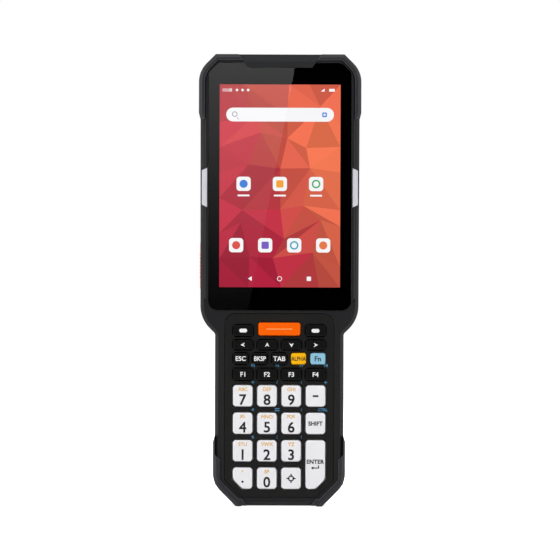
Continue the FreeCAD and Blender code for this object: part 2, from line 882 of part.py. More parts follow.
def round_holes(body):
    """Camera, flash, loudspeaker, screw and strap holes in the back of the head."""
    back = S.head_back
    camera = [(S.camera_side, S.camera_height)]
    seat = back - S.ring_seat
    back_circle_pocket(body, "camera_seat", camera, S.ring_outer, back + 1, seat)
    back_circle_pocket(body, "camera_hole", camera, S.lens_hole, seat, seat - S.wall)
    flash = [(S.camera_side, S.flash_height)]
    back_circle_pocket(body, "flash_seat", flash, S.flash_radius, back + 1, back - S.flash_thick)
    sketch = sketch_on(body, "speaker_slots", "XZ_Plane", S.wall - back - 1)
    for step in (-1, 0, 1):
        middle = S.speaker_height + S.slot_pitch * step
        half = S.slot_wide / 2
        low, high = middle - S.slot_tall / 2, middle + S.slot_tall / 2
        outline(sketch, box(-S.speaker_side - half, -S.speaker_side + half, low, high))
    sunk(body, sketch, S.wall + 2)
    board_back = S.board_front + S.board_thick
    inside = back - S.wall
    bosses = sketch_on(body, "screw_bosses", "XZ_Plane", -inside)
    for across, up in screw_places():
        outline(bosses, shifted(square(S.boss), across, up))
    raised(body, bosses, inside - board_back)
    sink = back - S.screw_sink
    back_circle_pocket(body, "screw_heads", screw_places(), S.screw_head, back + 1, sink)
    holes = sketch_on(body, "screw_holes", "XZ_Plane", -(board_back - 1))
    for across, up in screw_places():
        outline(holes, shifted(square(S.screw_shank), across, up))
    sunk(body, holes, sink - board_back + 1)
    strap = [(-S.strap_side, S.strap_height), (S.strap_side, S.strap_height)]
    pads = sketch_on(body, "strap_bosses", "XZ_Plane", -inside)
    for across, up in strap:
        outline(pads, shifted(square(S.strap_boss), across, up))
    raised(body, pads, S.strap_deep - S.wall + 1.0)
    back_circle_pocket(body, "strap_holes", strap, S.strap_bore, back + 1, back - S.strap_deep)


def side_rooms(body):
    """The scan button's window on the left and the flap recess and port hole on the right."""
    far = S.head_half + 2
    gap = S.side_gap
    wall = S.head_low_half - S.cavity_inset
    front, back = S.side_middle - S.side_deep / 2, S.side_middle + S.side_deep / 2
    low, high = S.side_bottom - gap, S.side_bottom + S.side_tall + gap
    window = box(front - gap, back + gap, low, high)
    side_pocket(body, "button_window", window, -wall, -far)
    lip = S.side_lip
    room = box(front - gap - lip, back + gap + lip, low - lip, high + lip)
    reach = gap * 2 + S.side_thick + S.side_travel
    side_pocket(body, "button_room", room, reach - wall, -wall)
    flap_low, flap_high = S.side_height - S.flap_tall / 2, S.side_height + S.flap_tall / 2
    front, back = S.side_middle - S.flap_deep / 2, S.side_middle + S.flap_deep / 2
    gap = S.flap_gap
    recess = box(front - gap, back + gap, flap_low - gap, flap_high + gap)
    floor = S.head_low_half - S.flap_thick - gap
    side_pocket(body, "flap_recess", recess, far, floor)
    half, tall = S.port_deep / 2 + S.port_wall, S.port_tall / 2 + S.port_wall
    hole = box(
        S.side_middle - half, S.side_middle + half, S.side_height - tall, S.side_height + tall
    )
    side_pocket(body, "port_hole", hole, floor, floor - S.port_long - gap)


def latch_room(body):
    """The slot in which the battery latch slides, with a wider room under it."""
    gap = S.latch_gap
    low = S.latch_bottom - S.latch_travel - gap
    high = S.latch_bottom + S.latch_tall + gap
    floor = S.grip_back - S.latch_thick - gap
    for name, grow, back, front in (
        ("latch_slot", 0.0, S.grip_back + 3, floor),
        ("latch_undercut", S.latch_flange, floor, floor - S.latch_thick - gap),
    ):
        half = S.latch_half + gap + grow
        sketch = sketch_on(body, name, "XZ_Plane", -as_size(front))
        outline(sketch, box(-half, half, low, high))
        sunk(body, sketch, back - front)


# Keys and keypad


def key_outline(wide, tall, corner, cut_side=0, grow=0.0):
    """A key about its own middle with cut corners, and one lower corner cut off deeper."""
    half, up = as_size(wide) / 2 + grow, as_size(tall) / 2 + grow
    shift = as_size(grow) * CUT_SHARE
    small, deep = corner + shift, S.white_corner_cut + shift
    low_right = deep if cut_side > 0 else small
    low_left = deep if cut_side < 0 else small
    return [
        (-half + low_left, -up),
        (half - low_right, -up),
        (half, -up + low_right),
        (half, up - small),
        (half - small, up),
        (-half + small, up),
        (-half, up - small),
        (-half, -up + low_left),
    ]


def key_places():
    """Every key: name, middle across, middle up, width, height, corner, cut corner side."""
    places = []
    for row, names in enumerate(WHITE_ROWS):
        for column, name in enumerate(names):
            across = S.column_pitch * (column - 1.5)
            up = S.white_top_row - S.white_pitch * row
            tall, cut = S.white_tall, 0
            if name == "key_point":
                cut = -1
            if name == "key_enter":
                up = up - S.white_pitch / 2
                tall = tall + S.white_pitch
                cut = 1
            places.append((name, across, up, S.white_wide, tall, S.white_cut, cut))
    for column, name in enumerate(FUNCTION_KEYS):
        across = S.column_pitch * (column - 1.5)
        size = (S.black_wide, S.function_tall, S.black_cut, 0)
        places.append((name, across, S.function_row, *size))
    for column, name in enumerate(ARROW_KEYS):
        across = S.column_pitch * (column - 1.5)
        size = (S.black_wide, S.arrow_tall, S.black_cut, 0)
        places.append((name, across, S.arrow_row, *size))
    for column, name in enumerate(SMALL_KEYS):
        across = S.small_pitch * (column - 2)
        size = (S.small_wide, S.small_tall, S.black_cut, 0)
        places.append((name, across, S.small_row, *size))
    for side, name in ((-1, "key_soft_left"), (1, "key_soft_right")):
        size = (S.black_wide, S.soft_tall, S.black_cut, 0)
        places.append((name, S.soft_column * side, S.soft_row, *size))
    places.append(("key_scan", as_size(0), S.scan_row, S.scan_wide, S.scan_tall, S.black_cut, 0))
    return places


def key(name, across, up, wide, tall, corner, cut):
    """A keycap with a flange that the panel holds back and a stem over its dome."""
    body = new_body(name)
    panel_back = S.face_front + S.panel_thick
    flange_front = panel_back + S.key_play
    flange_back = flange_front + S.key_flange_thick
    flange = key_outline(wide, tall, corner, cut, S.key_flange)
    front_pad(body, name + "_flange", flange, flange_back, flange_front)
    cap = front_pad(
        body, name + "_cap", key_outline(wide, tall, corner, cut), flange_front, S.key_front
    )
    cap.setExpression("TaperAngle", f"0 deg - {S.key_draft.text} * 1 deg")
    doc.recompute()
    front_pad(body, name + "_stem", square(S.stem / 2), stem_end(), flange_back)
    body.setExpression(".Placement.Base.x", as_size(across).text)
    body.setExpression(".Placement.Base.z", as_size(up).text)
    return body


def dome_top():
    return S.board_front - S.dome_rise


def stem_end():
    """The stem stops short of its dome by the key's travel."""
    return dome_top() - S.key_travel


def keypad_panel():
    """The flat panel round the keys, with a hole for each."""
    back = S.face_front + S.panel_thick
    sheet_body = slab("panel", panel_outline(0), back, S.face_front)
    holes = []
    for name, across, up, wide, tall, corner, cut in key_places():
        hole = key_outline(wide, tall, corner, cut, S.key_gap)
        holes.append(slab(name + "_hole", shifted(hole, across, up), back + 1, S.face_front - 1))
    return joined("panel_cut", "Cut", sheet_body, together("key_holes", holes))


def room_outline(inset, low, high):
    """The part of the inside between two heights, drawn in by a gap."""
    half = S.grip_half - S.cavity_inset - inset
    cut = S.bottom_cut - (S.cavity_inset + inset) * CUT_SHARE
    right = [(half - cut, low), (half, as_size(low) + cut), (half, high)]
    return both_sides(right)


def keypad_board():
    body = new_body("board")
    low = S.housing_bottom + S.cavity_inset + S.board_gap
    corners = room_outline(S.board_gap, low, S.keys_top + 1.0)
    front_pad(body, "keypad_board_outline", corners, S.board_front + S.board_thick, S.board_front)
    return body


def keypad_mat():
    """A rubber mat that lies on the board, with an opening round each dome."""
    low = S.housing_bottom + S.shelf_inset + S.board_gap
    half = S.grip_half - S.shelf_inset - S.board_gap
    cut = S.bottom_cut - (S.shelf_inset + S.board_gap) * CUT_SHARE
    top = S.scan_row + S.dome_wide / 2 + 1.0
    corners = both_sides([(half - cut, low), (half, low + cut), (half, top)])
    rubber = slab("mat", corners, S.board_front, S.board_front - S.mat_thick)
    openings = []
    wide = S.dome_wide + S.stem_gap * 2
    for name, across, up, *rest in key_places():
        opening = doc.addObject("Part::Box", name + "_opening")
        opening.setExpression("Length", wide.text)
        opening.setExpression("Height", wide.text)
        opening.setExpression("Width", (S.mat_thick * 3).text)
        opening.setExpression("Placement.Base.x", (across - wide / 2).text)
        opening.setExpression("Placement.Base.y", (S.board_front - S.mat_thick * 2).text)
        opening.setExpression("Placement.Base.z", (up - wide / 2).text)
        openings.append(opening)
    doc.recompute()
    return joined("mat_cut", "Cut", rubber, together("mat_openings", openings))


def dome_switches():
    """A snap dome on the board under the stem of each key."""
    domes = []
    upright_turn = FreeCAD.Rotation(Vector(1, 0, 0), 90)
    for name, across, up, *rest in key_places():
        dome = doc.addObject("Part::Prism", name + "_dome")
        dome.Polygon = DOME_SIDES
        dome.Placement = FreeCAD.Placement(Vector(0, 0, 0), upright_turn)
        dome.setExpression("Circumradius", (S.dome_wide / 2).text)
        dome.setExpression("Height", S.dome_rise.text)
        dome.setExpression("Placement.Base.x", across.text)
        dome.setExpression("Placement.Base.y", S.board_front.text)
        dome.setExpression("Placement.Base.z", up.text)
        domes.append(dome)
    doc.recompute()
    return together("domes", domes)


# Plain pieces


def slab(name, corners, back, front):
    """A solid between two depths, drawn as seen from the front."""
    body = new_body(name)
    front_pad(body, name + "_outline", corners, back, front)
    return body


def upright(name, corners, low, high):
    """A solid between two heights, drawn as seen from above (X, Y)."""
    body = new_body(name)
    sketch = outline(sketch_on(body, name + "_plan", "XY_Plane", low), corners)
    raised(body, sketch, as_size(high) - low)
    return body


def sideways(name, corners, left, right):
    """A solid between two widths, drawn as seen from the right side (Y, Z)."""
    body = new_body(name)
    sketch = outline(sketch_on(body, name + "_side", "YZ_Plane", left), corners)
    raised(body, sketch, as_size(right) - left)
    return body


def disc(body, name, places, radius, back, front):
    """Round pads between two depths."""
    sketch = sketch_on(body, name, "XZ_Plane", -as_size(back))
    for across, up in places:
        circle(sketch, across, up, radius)
    return raised(body, sketch, as_size(back) - front)


def light_outline(side, grow):
    """A light bar's outline with slanted ends, on one side."""
    inner, outer = S.light_inner - grow, S.light_outer + grow
    low, high = S.light_bottom - grow, S.light_bottom + S.light_tall + grow
    slant = (S.light_outer - S.light_inner) / 2
    corners = [(inner, low), (outer, low + slant), (outer, high - slant), (inner, high)]
    return [(x * side, z) for x, z in corners]


def light_bar(side, name, gap=0.0, rise=0.0):
    """A light bar, or the slot for it when it is grown by a gap."""
    back, front = S.light_front + S.light_thick, S.light_front - rise
    return slab(name, light_outline(side, gap), back, front)


def display():
    corners = box(-S.display_half, S.display_half, S.display_bottom, S.display_top)
    front = S.glass_front + S.glass_thick
    return slab("display", corners, front + S.display_thick, front)


def main_board():
    body = new_body("logic_board")
    half = S.head_low_half - S.cavity_inset - S.board_gap
    low = S.shoulder_height + S.board_gap * 10
    top = S.housing_top - S.cavity_inset - S.board_gap
    cut = S.top_cut - (S.cavity_inset + S.board_gap) * CUT_SHARE
    corners = both_sides([(half, low + S.shoulder_round / 2), (half, top - cut), (half - cut, top)])
    front_pad(body, "logic_outline", corners, S.board_front + S.board_thick, S.board_front)
    holes = sketch_on(body, "logic_holes", "XZ_Plane", -S.board_front)
    for across, up in screw_places():
        outline(holes, shifted(square(S.screw_shank + S.board_gap), across, up))
    sunk(body, holes, S.board_thick)
    return body


def side_button():
    """The scan button: a bar in the left wall, kept in by a lip behind the wall."""
    low, high = S.side_middle - S.side_deep / 2, S.side_middle + S.side_deep / 2
    outer = S.head_low_half + S.side_proud
    inner = S.head_low_half - S.cavity_inset - S.side_gap
    bar = box(low, high, S.side_bottom, S.side_bottom + S.side_tall)
    body = sideways("side_bar", bar, -outer, -inner)
    lip = S.side_lip
    wide = box(low - lip, high + lip, S.side_bottom - lip, S.side_bottom + S.side_tall + lip)
    sketch = outline(sketch_on(body, "side_bar_lip", "YZ_Plane", -inner), wide)
    raised(body, sketch, S.side_thick)
    return body


def battery():
    corners = box(-S.pack_half, S.pack_half, S.pack_bottom, S.pack_top)
    body = slab("battery", corners, S.grip_back, S.pack_front)
    pad = body.Tip
    back = S.grip_back.value
    edged(body, "Chamfer", pad, S.pack_edge, edges_where(pad, lambda p: abs(p.y - back) < 1e-4))
    return body


def battery_blades():
    """Spring blades on the floor of the battery pocket."""
    body = new_body("blades")
    sketch = sketch_on(body, "blade_outlines", "XZ_Plane", -S.pocket_floor)
    for step in (-2, -1, 0, 1, 2):
        middle = S.contact_pitch * step
        half = S.contact_wide / 2
        low = S.contact_height
        outline(sketch, box(middle - half, middle + half, low, low + S.contact_tall))
    # Raised towards the back, so the sketch is lifted by the blade's own height
    sketch.setExpression(
        ".AttachmentOffset.Base.z", (-(S.pocket_floor + S.contact_rise)).text
    )
    raised(body, sketch, S.contact_rise)
    return body


def latch():
    """The battery latch: a slider in its slot with a flange in the undercut."""
    half, flange = S.latch_half, S.latch_half + S.latch_flange
    low, high = S.latch_bottom, S.latch_bottom + S.latch_tall
    back = S.grip_back + S.latch_proud
    middle = S.grip_back - S.latch_thick - S.latch_gap * 2
    body = slab("slider", box(-half, half, low, high), back, middle)
    inner = middle - S.latch_thick + S.latch_gap
    front_pad(body, "slider_flange", box(-flange, flange, low, high), middle, inner)
    return body


def camera_ring():
    body = new_body("ring")
    back = S.head_back + S.ring_proud
    place = [(S.camera_side, S.camera_height)]
    seat = S.head_back - S.ring_seat
    disc(body, "ring_outer", place, S.ring_outer - S.side_gap, back, seat)
    back_circle_pocket(body, "ring_bore", place, S.ring_bore, back, seat)
    return body


def camera_lens():
    body = new_body("lens")
    seat = S.head_back - S.ring_seat
    place = [(S.camera_side, S.camera_height)]
    disc(body, "lens_disc", place, S.ring_bore - S.side_gap / 2, seat + S.lens_thick, seat)
    return body


def flash():
    body = new_body("flash")
    place = [(S.camera_side, S.flash_height)]
    back = S.head_back
    disc(body, "flash_disc", place, S.flash_radius - S.side_gap / 2, back, back - S.flash_thick)
    return body


def speaker():
    wide, tall = S.speaker_wide / 2, S.speaker_tall / 2
    corners = shifted(box(-wide, wide, -tall, tall), -S.speaker_side, S.speaker_height)
    back = S.head_back - S.wall
    return slab("speaker", corners, back, back - S.speaker_deep)


def flap():
    """The rubber port cover in its recess, with a round knuckle at the bottom."""
    low, high = S.side_height - S.flap_tall / 2, S.side_height + S.flap_tall / 2
    front, back = S.side_middle - S.flap_deep / 2, S.side_middle + S.flap_deep / 2
    outer = S.head_low_half
    inner = outer - S.flap_thick
    body = sideways("flap", box(front, back, low + S.flap_pin, high), inner, outer)
    sketch = circle(
        sketch_on(body, "flap_knuckle", "XZ_Plane", -back),
        outer - S.flap_pin, low + S.flap_pin, S.flap_pin,
    )
    raised(body, sketch, S.flap_deep)
    return body


def socket():
    deep, tall = S.port_deep / 2, S.port_tall / 2
    wall = S.port_wall - S.glass_gap
    outer = S.head_low_half - S.flap_thick - S.flap_gap
    front, back = S.side_middle - deep - wall, S.side_middle + deep + wall
    low, high = S.side_height - tall - wall, S.side_height + tall + wall
    body = sideways("socket", box(front, back, low, high), outer - S.port_long, outer)
    mouth = box(
        S.side_middle - deep, S.side_middle + deep, S.side_height - tall, S.side_height + tall
    )
    side_pocket(body, "socket_mouth", mouth, outer, outer - S.port_long + 1.0)
    tongue = box(
        S.side_middle - deep / 4, S.side_middle + deep / 4,
        S.side_height - tall * 0.8, S.side_height + tall * 0.8,
    )
    root = outer - S.port_long + 1.0
    sketch = outline(sketch_on(body, "socket_tongue", "YZ_Plane", root), tongue)
    raised(body, sketch, S.port_long - 2.0)
    return body


def engine():
    half, deep = S.engine_wide / 2, S.engine_deep
    front = S.board_front + S.board_thick
    top = S.housing_top - S.cavity_inset - S.board_gap
    return slab("engine", box(-half, half, top - S.engine_tall, top), front + deep, front)


def scan_glass():
    gap = S.glass_gap
    half, deep = S.window_half - gap, S.window_deep / 2 - gap
    seat_top = S.housing_top + S.bumper_proud - S.upper_thick
    corners = box(-half, half, S.window_middle - deep, S.window_middle + deep)
    return upright("scan_glass", corners, seat_top - S.window_thick, seat_top)


def cradle_pads():
    body = new_body("pads")
    sketch = sketch_on(body, "pad_outlines", "XY_Plane", S.housing_bottom - S.cradle_thick)
    half, deep = S.cradle_wide / 2, S.cradle_deep / 2
    for step in (-2.5, -1.5, -0.5, 0.5, 1.5, 2.5):
        middle = S.cradle_pitch * step
        outline(sketch, box(middle - half, middle + half, -deep, deep))
    raised(body, sketch, S.cradle_thick)
    return body


def screws():
    """Four screws through the back casing into the ears of the front one."""
    body = new_body("screws")
    seat = S.head_back - S.screw_sink
    disc(body, "heads", screw_places(), S.screw_head - S.side_gap, seat + S.screw_head_deep, seat)
    tip = S.board_front - S.ear_long
    sketch = sketch_on(body, "shanks", "XZ_Plane", -seat)
    for across, up in screw_places():
        outline(sketch, shifted(square(S.screw_shank - S.glass_gap / 2), across, up))
    raised(body, sketch, seat - tip)
    return body


# Assembly


arch = upper_arch()
cradle = lower_cradle()
block = cowl_block()
keep("scanner_cowl", cowl(block))
opening = slab(
    "window_way",
    box(-S.window_half, S.window_half, S.upper_end, S.housing_top + 2),
    S.window_middle + S.window_deep / 2,
    S.window_middle - S.window_deep / 2,
)
keep("upper_bumper", without("arch_cut", arch, [block, opening]))
notch = slab(
    "heel_notch",
    both_sides([
        (S.foot_inner - S.foot_slope - S.lower_thick, -1.0),
        (S.foot_inner - S.foot_slope, S.housing_bottom + S.lower_thick),
    ]),
    S.lower_front + S.lower_thick,
    S.lower_front - 1,
)
keep("lower_bumper", without("cradle_cut", cradle, [notch]))
slots = [
    light_bar(-1, "light_slot_left", S.glass_gap, 1.0),
    light_bar(1, "light_slot_right", S.glass_gap, 1.0),
]
rubber = [arch, nodes["lower_bumper"]]
keep("front_housing", without("front_cut", front_shell(), [*rubber, block, *slots]))
keep("rear_housing", without("rear_cut", rear_shell(), rubber))
keep("light_bar_left", light_bar(-1, "light_left"))
keep("light_bar_right", light_bar(1, "light_right"))
keep(
    "cover_glass",
    slab("glass", glass_outline(0), S.glass_front + S.glass_thick, S.glass_front),
)
keep("display_module", display())
keep("keypad_panel", keypad_panel())
keep("keypad_board", keypad_board())
keep("keypad_mat", keypad_mat())
keep("dome_switches", dome_switches())
keep("main_board", main_board())
keep("side_scan_button", side_button())
keep("battery_pack", battery())
keep("battery_contacts", battery_blades())
keep("battery_latch", latch())
keep("camera_ring", camera_ring())
keep("camera_lens", camera_lens())
keep("flash_lens", flash())
keep("loudspeaker", speaker())
keep("port_flap", flap())
keep("port_socket", socket())
keep("scan_engine", engine())
keep("scan_window", scan_glass())
keep("cradle_contacts", cradle_pads())
keep("housing_screws", screws())
for place in key_places():
    keep(place[0], key(*place))

doc.recompute()
faults = [thing.Name for thing in doc.Objects if {"Invalid", "Error"} & set(thing.State)]
if faults:
    raise RuntimeError(f"features that failed: {faults}")
for name, thing in nodes.items():
    if thing.Shape.isNull() or not thing.Shape.isValid():
        raise RuntimeError(f"{name} has no sound shape")
os.makedirs("parts", exist_ok=True)
for name, thing in nodes.items():
    thing.Shape.exportStep(f"parts/{name}.step")
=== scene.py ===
import math
import random

import bmesh
import bpy
from mathutils import Matrix, Vector


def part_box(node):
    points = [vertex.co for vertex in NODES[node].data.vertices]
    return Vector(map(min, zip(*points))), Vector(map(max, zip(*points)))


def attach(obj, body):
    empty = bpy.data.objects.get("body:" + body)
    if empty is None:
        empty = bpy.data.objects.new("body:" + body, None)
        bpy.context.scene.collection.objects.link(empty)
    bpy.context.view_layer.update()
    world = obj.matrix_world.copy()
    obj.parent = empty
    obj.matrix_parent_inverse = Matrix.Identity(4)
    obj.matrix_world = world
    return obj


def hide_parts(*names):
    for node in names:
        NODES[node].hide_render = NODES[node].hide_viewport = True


bl_info = {
    "name": "Handheld Data Terminal",
    "version": (1, 0, 0),
    "blender": (4, 5, 0),
    "location": "View3D > Sidebar > Terminal",
    "description": "Dresses the packed terminal with its keys, screen, finishes and studio",
    "category": "Add Mesh",
}

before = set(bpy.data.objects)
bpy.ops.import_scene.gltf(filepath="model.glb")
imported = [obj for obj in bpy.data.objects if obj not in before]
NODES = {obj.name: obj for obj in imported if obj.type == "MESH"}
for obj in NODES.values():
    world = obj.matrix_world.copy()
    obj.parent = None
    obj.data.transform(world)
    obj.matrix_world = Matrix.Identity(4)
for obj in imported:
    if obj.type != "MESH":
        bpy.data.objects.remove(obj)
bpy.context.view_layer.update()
MM = 0.001

# A keycap: its flange behind the panel, the slope of its sides, its cut-off corner, and how far
# the cap starts behind the panel.
KEY_FLANGE = 0.5 * MM
KEY_DRAFT = math.radians(5.0)
KEY_CUT = 4.6 * MM
CAP_OVERLAP = 0.2 * MM

# Thin layers that lie over each other without touching.
PRINT_STEP = 0.001 * MM
PICTURE_LAYER = 0.01 * MM
BORDER_DEPTH = 0.03 * MM

SMOOTH_ANGLE = math.radians(25.0)
DISC_SIDES = 28

# Places in a keycap's list of finishes.
LEGEND, LETTERS, BEAD = 1, 2, 2

# How far the copies of a letter lie apart, as a share of its height.
BOLD = {"digit": 0.025, "letters": 0.04, "words": 0.05, "dark": 0.028, "colour": 0.025,
        "print": 0.02, "clock": 0.01}


def linear(code):
    """The linear colour of an sRGB code such as 22252a."""
    parts = [int(code[i:i + 2], 16) / 255 for i in (0, 2, 4)]
    return tuple(p / 12.92 if p <= 0.04045 else ((p + 0.055) / 1.055) ** 2.4 for p in parts)


# The legends of the keys: white keys have a large one and small letters over it.
WHITE_KEYS = {
    "key_7": ("7", "ABC"), "key_8": ("8", "DEF"), "key_9": ("9", "GHI"), "key_minus": ("-", ""),
    "key_4": ("4", "JKL"), "key_5": ("5", "MNO"), "key_6": ("6", "PQR"), "key_shift": ("SHIFT", ""),
    "key_1": ("1", "STU"), "key_2": ("2", "VWX"), "key_3": ("3", "YZ"), "key_enter": ("ENTER", ""),
    "key_point": (".", ""), "key_0": ("0", "SP"), "key_centre": ("+", ""),
}
CUT_KEYS = {"key_enter": "right", "key_point": "left"}
DARK_KEYS = {
    "key_f1": "F1", "key_f2": "F2", "key_f3": "F3", "key_f4": "F4",
    "key_esc": "ESC", "key_backspace": "BKSP", "key_tab": "TAB",
    "key_arrow_left": "left", "key_arrow_up": "up", "key_arrow_down": "down",
    "key_arrow_right": "right", "key_soft_left": "bar", "key_soft_right": "bar",
}
ARROW = ((1.1, 0.0), (-0.9, 1.0), (-0.3, 0.0), (-0.9, -1.0))
ARROW_TURNS = {"right": 0, "up": 1, "left": 2, "down": 3}

# Each coloured key's finish, slot and word, with the word's height and width.
COLOUR_KEYS = {
    "key_scan": ("scan", "orange_key", "", 0.0, 1.0),
    "key_alpha": ("alpha", "yellow_key", "ALPHA", 1.9 * MM, 0.78),
    "key_fn": ("fn", "blue_key", "Fn", 2.3 * MM, 1.0),
}
PANEL_PRINTS = {
    "key_f1": "F5", "key_f2": "F6", "key_f3": "F7", "key_f4": "F8",
    "key_7": "*", "key_8": "/", "key_9": "(", "key_minus": "+",
    "key_4": "#", "key_5": "=", "key_6": ")", "key_shift": "CTRL",
    "key_1": "%", "key_2": ":", "key_3": "!",
}


# Settings


def colour(name, description, code):
    return bpy.props.FloatVectorProperty(
        name=name, description=description, subtype="COLOR", size=3,
        min=0.0, max=1.0, default=linear(code),
    )


def length(name, description, value):
    return bpy.props.FloatProperty(
        name=name, description=description, subtype="DISTANCE", unit="LENGTH",
        precision=5, default=value,
    )


def power(name, description, value):
    return bpy.props.FloatProperty(name=name, description=description, min=0.0, default=value)


class TerminalSizes(bpy.types.PropertyGroup):
    """Sizes of the fine forms."""

    key_corner: length("White Key Corner", "Corner radius of the white keys", 1.5 * MM)
    small_corner: length("Small Key Corner", "Corner radius of the other keys", 1.0 * MM)
    key_edge: length("Key Edge", "Rounding of the keys' top edge", 0.45 * MM)
    digit: length("Digit", "Height of the large digits", 4.75 * MM)
    letters: length("Letters", "Height of the small letters over the digits", 1.6 * MM)
    prints: length("Panel Prints", "Height of the blue prints on the panel", 1.3 * MM)
    words: length("Key Words", "Height of the words on the tall and shift keys", 1.85 * MM)
    dark_words: length("Dark Key Words", "Height of the words on the dark keys", 2.1 * MM)
    digit_drop: length("Digit Drop", "From a key's middle down to its digit", 1.75 * MM)
    letters_rise: length("Letters Rise", "From a key's middle up to its letters", 3.1 * MM)
    ink: length("Ink", "Thickness of the printed legends", 0.012 * MM)


class TerminalColours(bpy.types.PropertyGroup):
    """Colours of the finishes."""

    casing: colour("Casing", "Matt casing plastic", "1b1b1d")
    bumper: colour("Bumper", "Rubber bumpers", "2b2b2e")
    panel: colour("Panel", "Keypad panel", "151413")
    cowl: colour("Cowl", "Scanner cowl", "1d1e20")
    white_key: colour("White Keys", "Number keys", "efeef1")
    black_key: colour("Black Keys", "Function keys", "0a0a0b")
    scan: colour("Scan Keys", "Scan key and side button", "ff6400")
    alpha: colour("Alpha Key", "Alpha key", "fcb90a")
    fn: colour("Fn Key", "Fn key", "8cc2dc")
    light_bar: colour("Light Bars", "Milky light bars", "d6d4dc")


class StageSettings(bpy.types.PropertyGroup):
    """Camera and lamps."""

    distance: length("Camera Distance", "From the middle plane to the camera", 1.8)
    view: length("View Width", "Width that the picture shows at the screen", 259.84 * MM)
    across: length("Camera Across", "Place of the camera from left to right", 0.21 * MM)
    height: length("Camera Height", "Height of the camera over the floor", 105.2 * MM)
    roll: bpy.props.FloatProperty(
        name="Roll", description="Camera roll", subtype="ANGLE", unit="ROTATION",
        default=math.radians(-0.19),
    )
    key: power("Key Light", "Power of the key light and the back light", 5.6)
    side: power("Side Light", "Power of each side light", 4.2)
    top: power("Top Light", "Power of the top light", 4.5)
    ambient: power("Ambient", "Strength of the room's light", 0.45)
    mirrored: power("Pale Card", "Strength of the card that the glass mirrors", 1.46)


# Node helpers


def put(tree, kind, inputs=None, **settings):
    """A shader node with its settings, values and links."""
    made = tree.nodes.new(kind)
    for word, value in settings.items():
        setattr(made, word, value)
    for word, value in (inputs or {}).items():
        if isinstance(value, bpy.types.NodeSocket):
            tree.links.new(value, made.inputs[word])
        else:
            made.inputs[word].default_value = value
    return made


def maths(tree, operation, first, second=0.0):
    node = put(tree, "ShaderNodeMath", {0: first, 1: second}, operation=operation)
    return node.outputs[0]


def blended(tree, share, first, second):
    """A colour between two colours."""
    node = put(tree, "ShaderNodeMix", {0: share, 6: first, 7: second}, data_type="RGBA")
    return node.outputs[2]


def new_group(name, inputs, outputs):
    group = bpy.data.node_groups.new(name, "ShaderNodeTree")
    for word, value in inputs.items():
        socket = group.interface.new_socket(word, in_out="INPUT", socket_type="NodeSocketFloat")
        socket.default_value = value
    for word, kind in outputs.items():
        group.interface.new_socket(word, in_out="OUTPUT", socket_type=f"NodeSocket{kind}")
    start = group.nodes.new("NodeGroupInput")
    end = group.nodes.new("NodeGroupOutput")
    return group, start.outputs, end.inputs


def grain_group():
    """Fine moulded grain with broader, weaker unevenness."""
    group, given, result = new_group(
        "Moulded Grain", {"Scale": 2500.0, "Spread": 0.1}, {"Height": "Float", "Variation": "Float"}
    )
    place = put(group, "ShaderNodeTexCoord").outputs["Object"]
    fine = put(group, "ShaderNodeTexNoise", {
        "Vector": place, "Scale": given["Scale"], "Detail": 3.0,
    })
    broad = put(group, "ShaderNodeTexNoise", {"Vector": place, "Scale": 35.0, "Detail": 4.0})
    centred = maths(group, "SUBTRACT", broad.outputs[0], 0.5)
    group.links.new(fine.outputs[0], result["Height"])
    group.links.new(maths(group, "MULTIPLY", centred, given["Spread"]), result["Variation"])
    return group


def edge_group():
    """Where a surface turns: a mask of the edges, along which the finishes paint a highlight that
    is partly scuffing, and the normal that rounds them.
    """
    group, given, result = new_group(
        "Worn Edge", {"Radius": 0.0004, "Sharpness": 6.0}, {"Mask": "Float", "Normal": "Vector"}
    )
    rounded = put(group, "ShaderNodeBevel", {"Radius": given["Radius"]}, samples=6)
    face = put(group, "ShaderNodeNewGeometry").outputs["Normal"]
    along = put(group, "ShaderNodeVectorMath", {0: rounded.outputs[0], 1: face},
                operation="DOT_PRODUCT")
    bend = maths(group, "SUBTRACT", 1.0, along.outputs["Value"])
    turn = maths(group, "MULTIPLY", bend, given["Sharpness"])
    capped = put(group, "ShaderNodeClamp", {"Value": turn})
    group.links.new(capped.outputs[0], result["Mask"])
    group.links.new(rounded.outputs[0], result["Normal"])
    return group


def dust_group():
    """Soft handling marks: broad cloudy patches broken up by finer ones."""
    group, given, result = new_group("Handling", {"Scale": 60.0, "Amount": 0.2}, {"Mask": "Float"})
    place = put(group, "ShaderNodeTexCoord").outputs["Object"]
    cloud = put(group, "ShaderNodeTexNoise", {
        "Vector": place, "Scale": given["Scale"], "Detail": 6.0,
    })
    ramp = put(group, "ShaderNodeMapRange", {0: cloud.outputs[0], 1: 0.45, 2: 0.75})
    group.links.new(maths(group, "MULTIPLY", ramp.outputs[0], given["Amount"]), result["Mask"])
    return group


def as_group(tree, name, inputs=None):
    node = put(tree, "ShaderNodeGroup", node_tree=bpy.data.node_groups[name])
    for word, value in (inputs or {}).items():
        node.inputs[word].default_value = value
    return node.outputs


def rgba(values):
    return (*values[:3], 1.0)


def roughened(tree, shader, roughness, scale, spread):
    """Feeds the shader an uneven roughness, and gives the grain's height for a bump."""
    texture = as_group(tree, "Moulded Grain", {"Scale": scale, "Spread": spread})
    tree.links.new(maths(tree, "ADD", texture["Variation"], roughness), shader.inputs["Roughness"])
    return texture["Height"]


def new_material(name, base):
    """A material with its Principled shader ready, and the shader."""
    material = bpy.data.materials.new(name)
    material.use_nodes = True
    tree = material.node_tree
    tree.nodes.clear()
    shader = put(tree, "ShaderNodeBsdfPrincipled", {"Base Color": rgba(base)})
    put(tree, "ShaderNodeOutputMaterial", {"Surface": shader.outputs[0]})
    return material, tree, shader


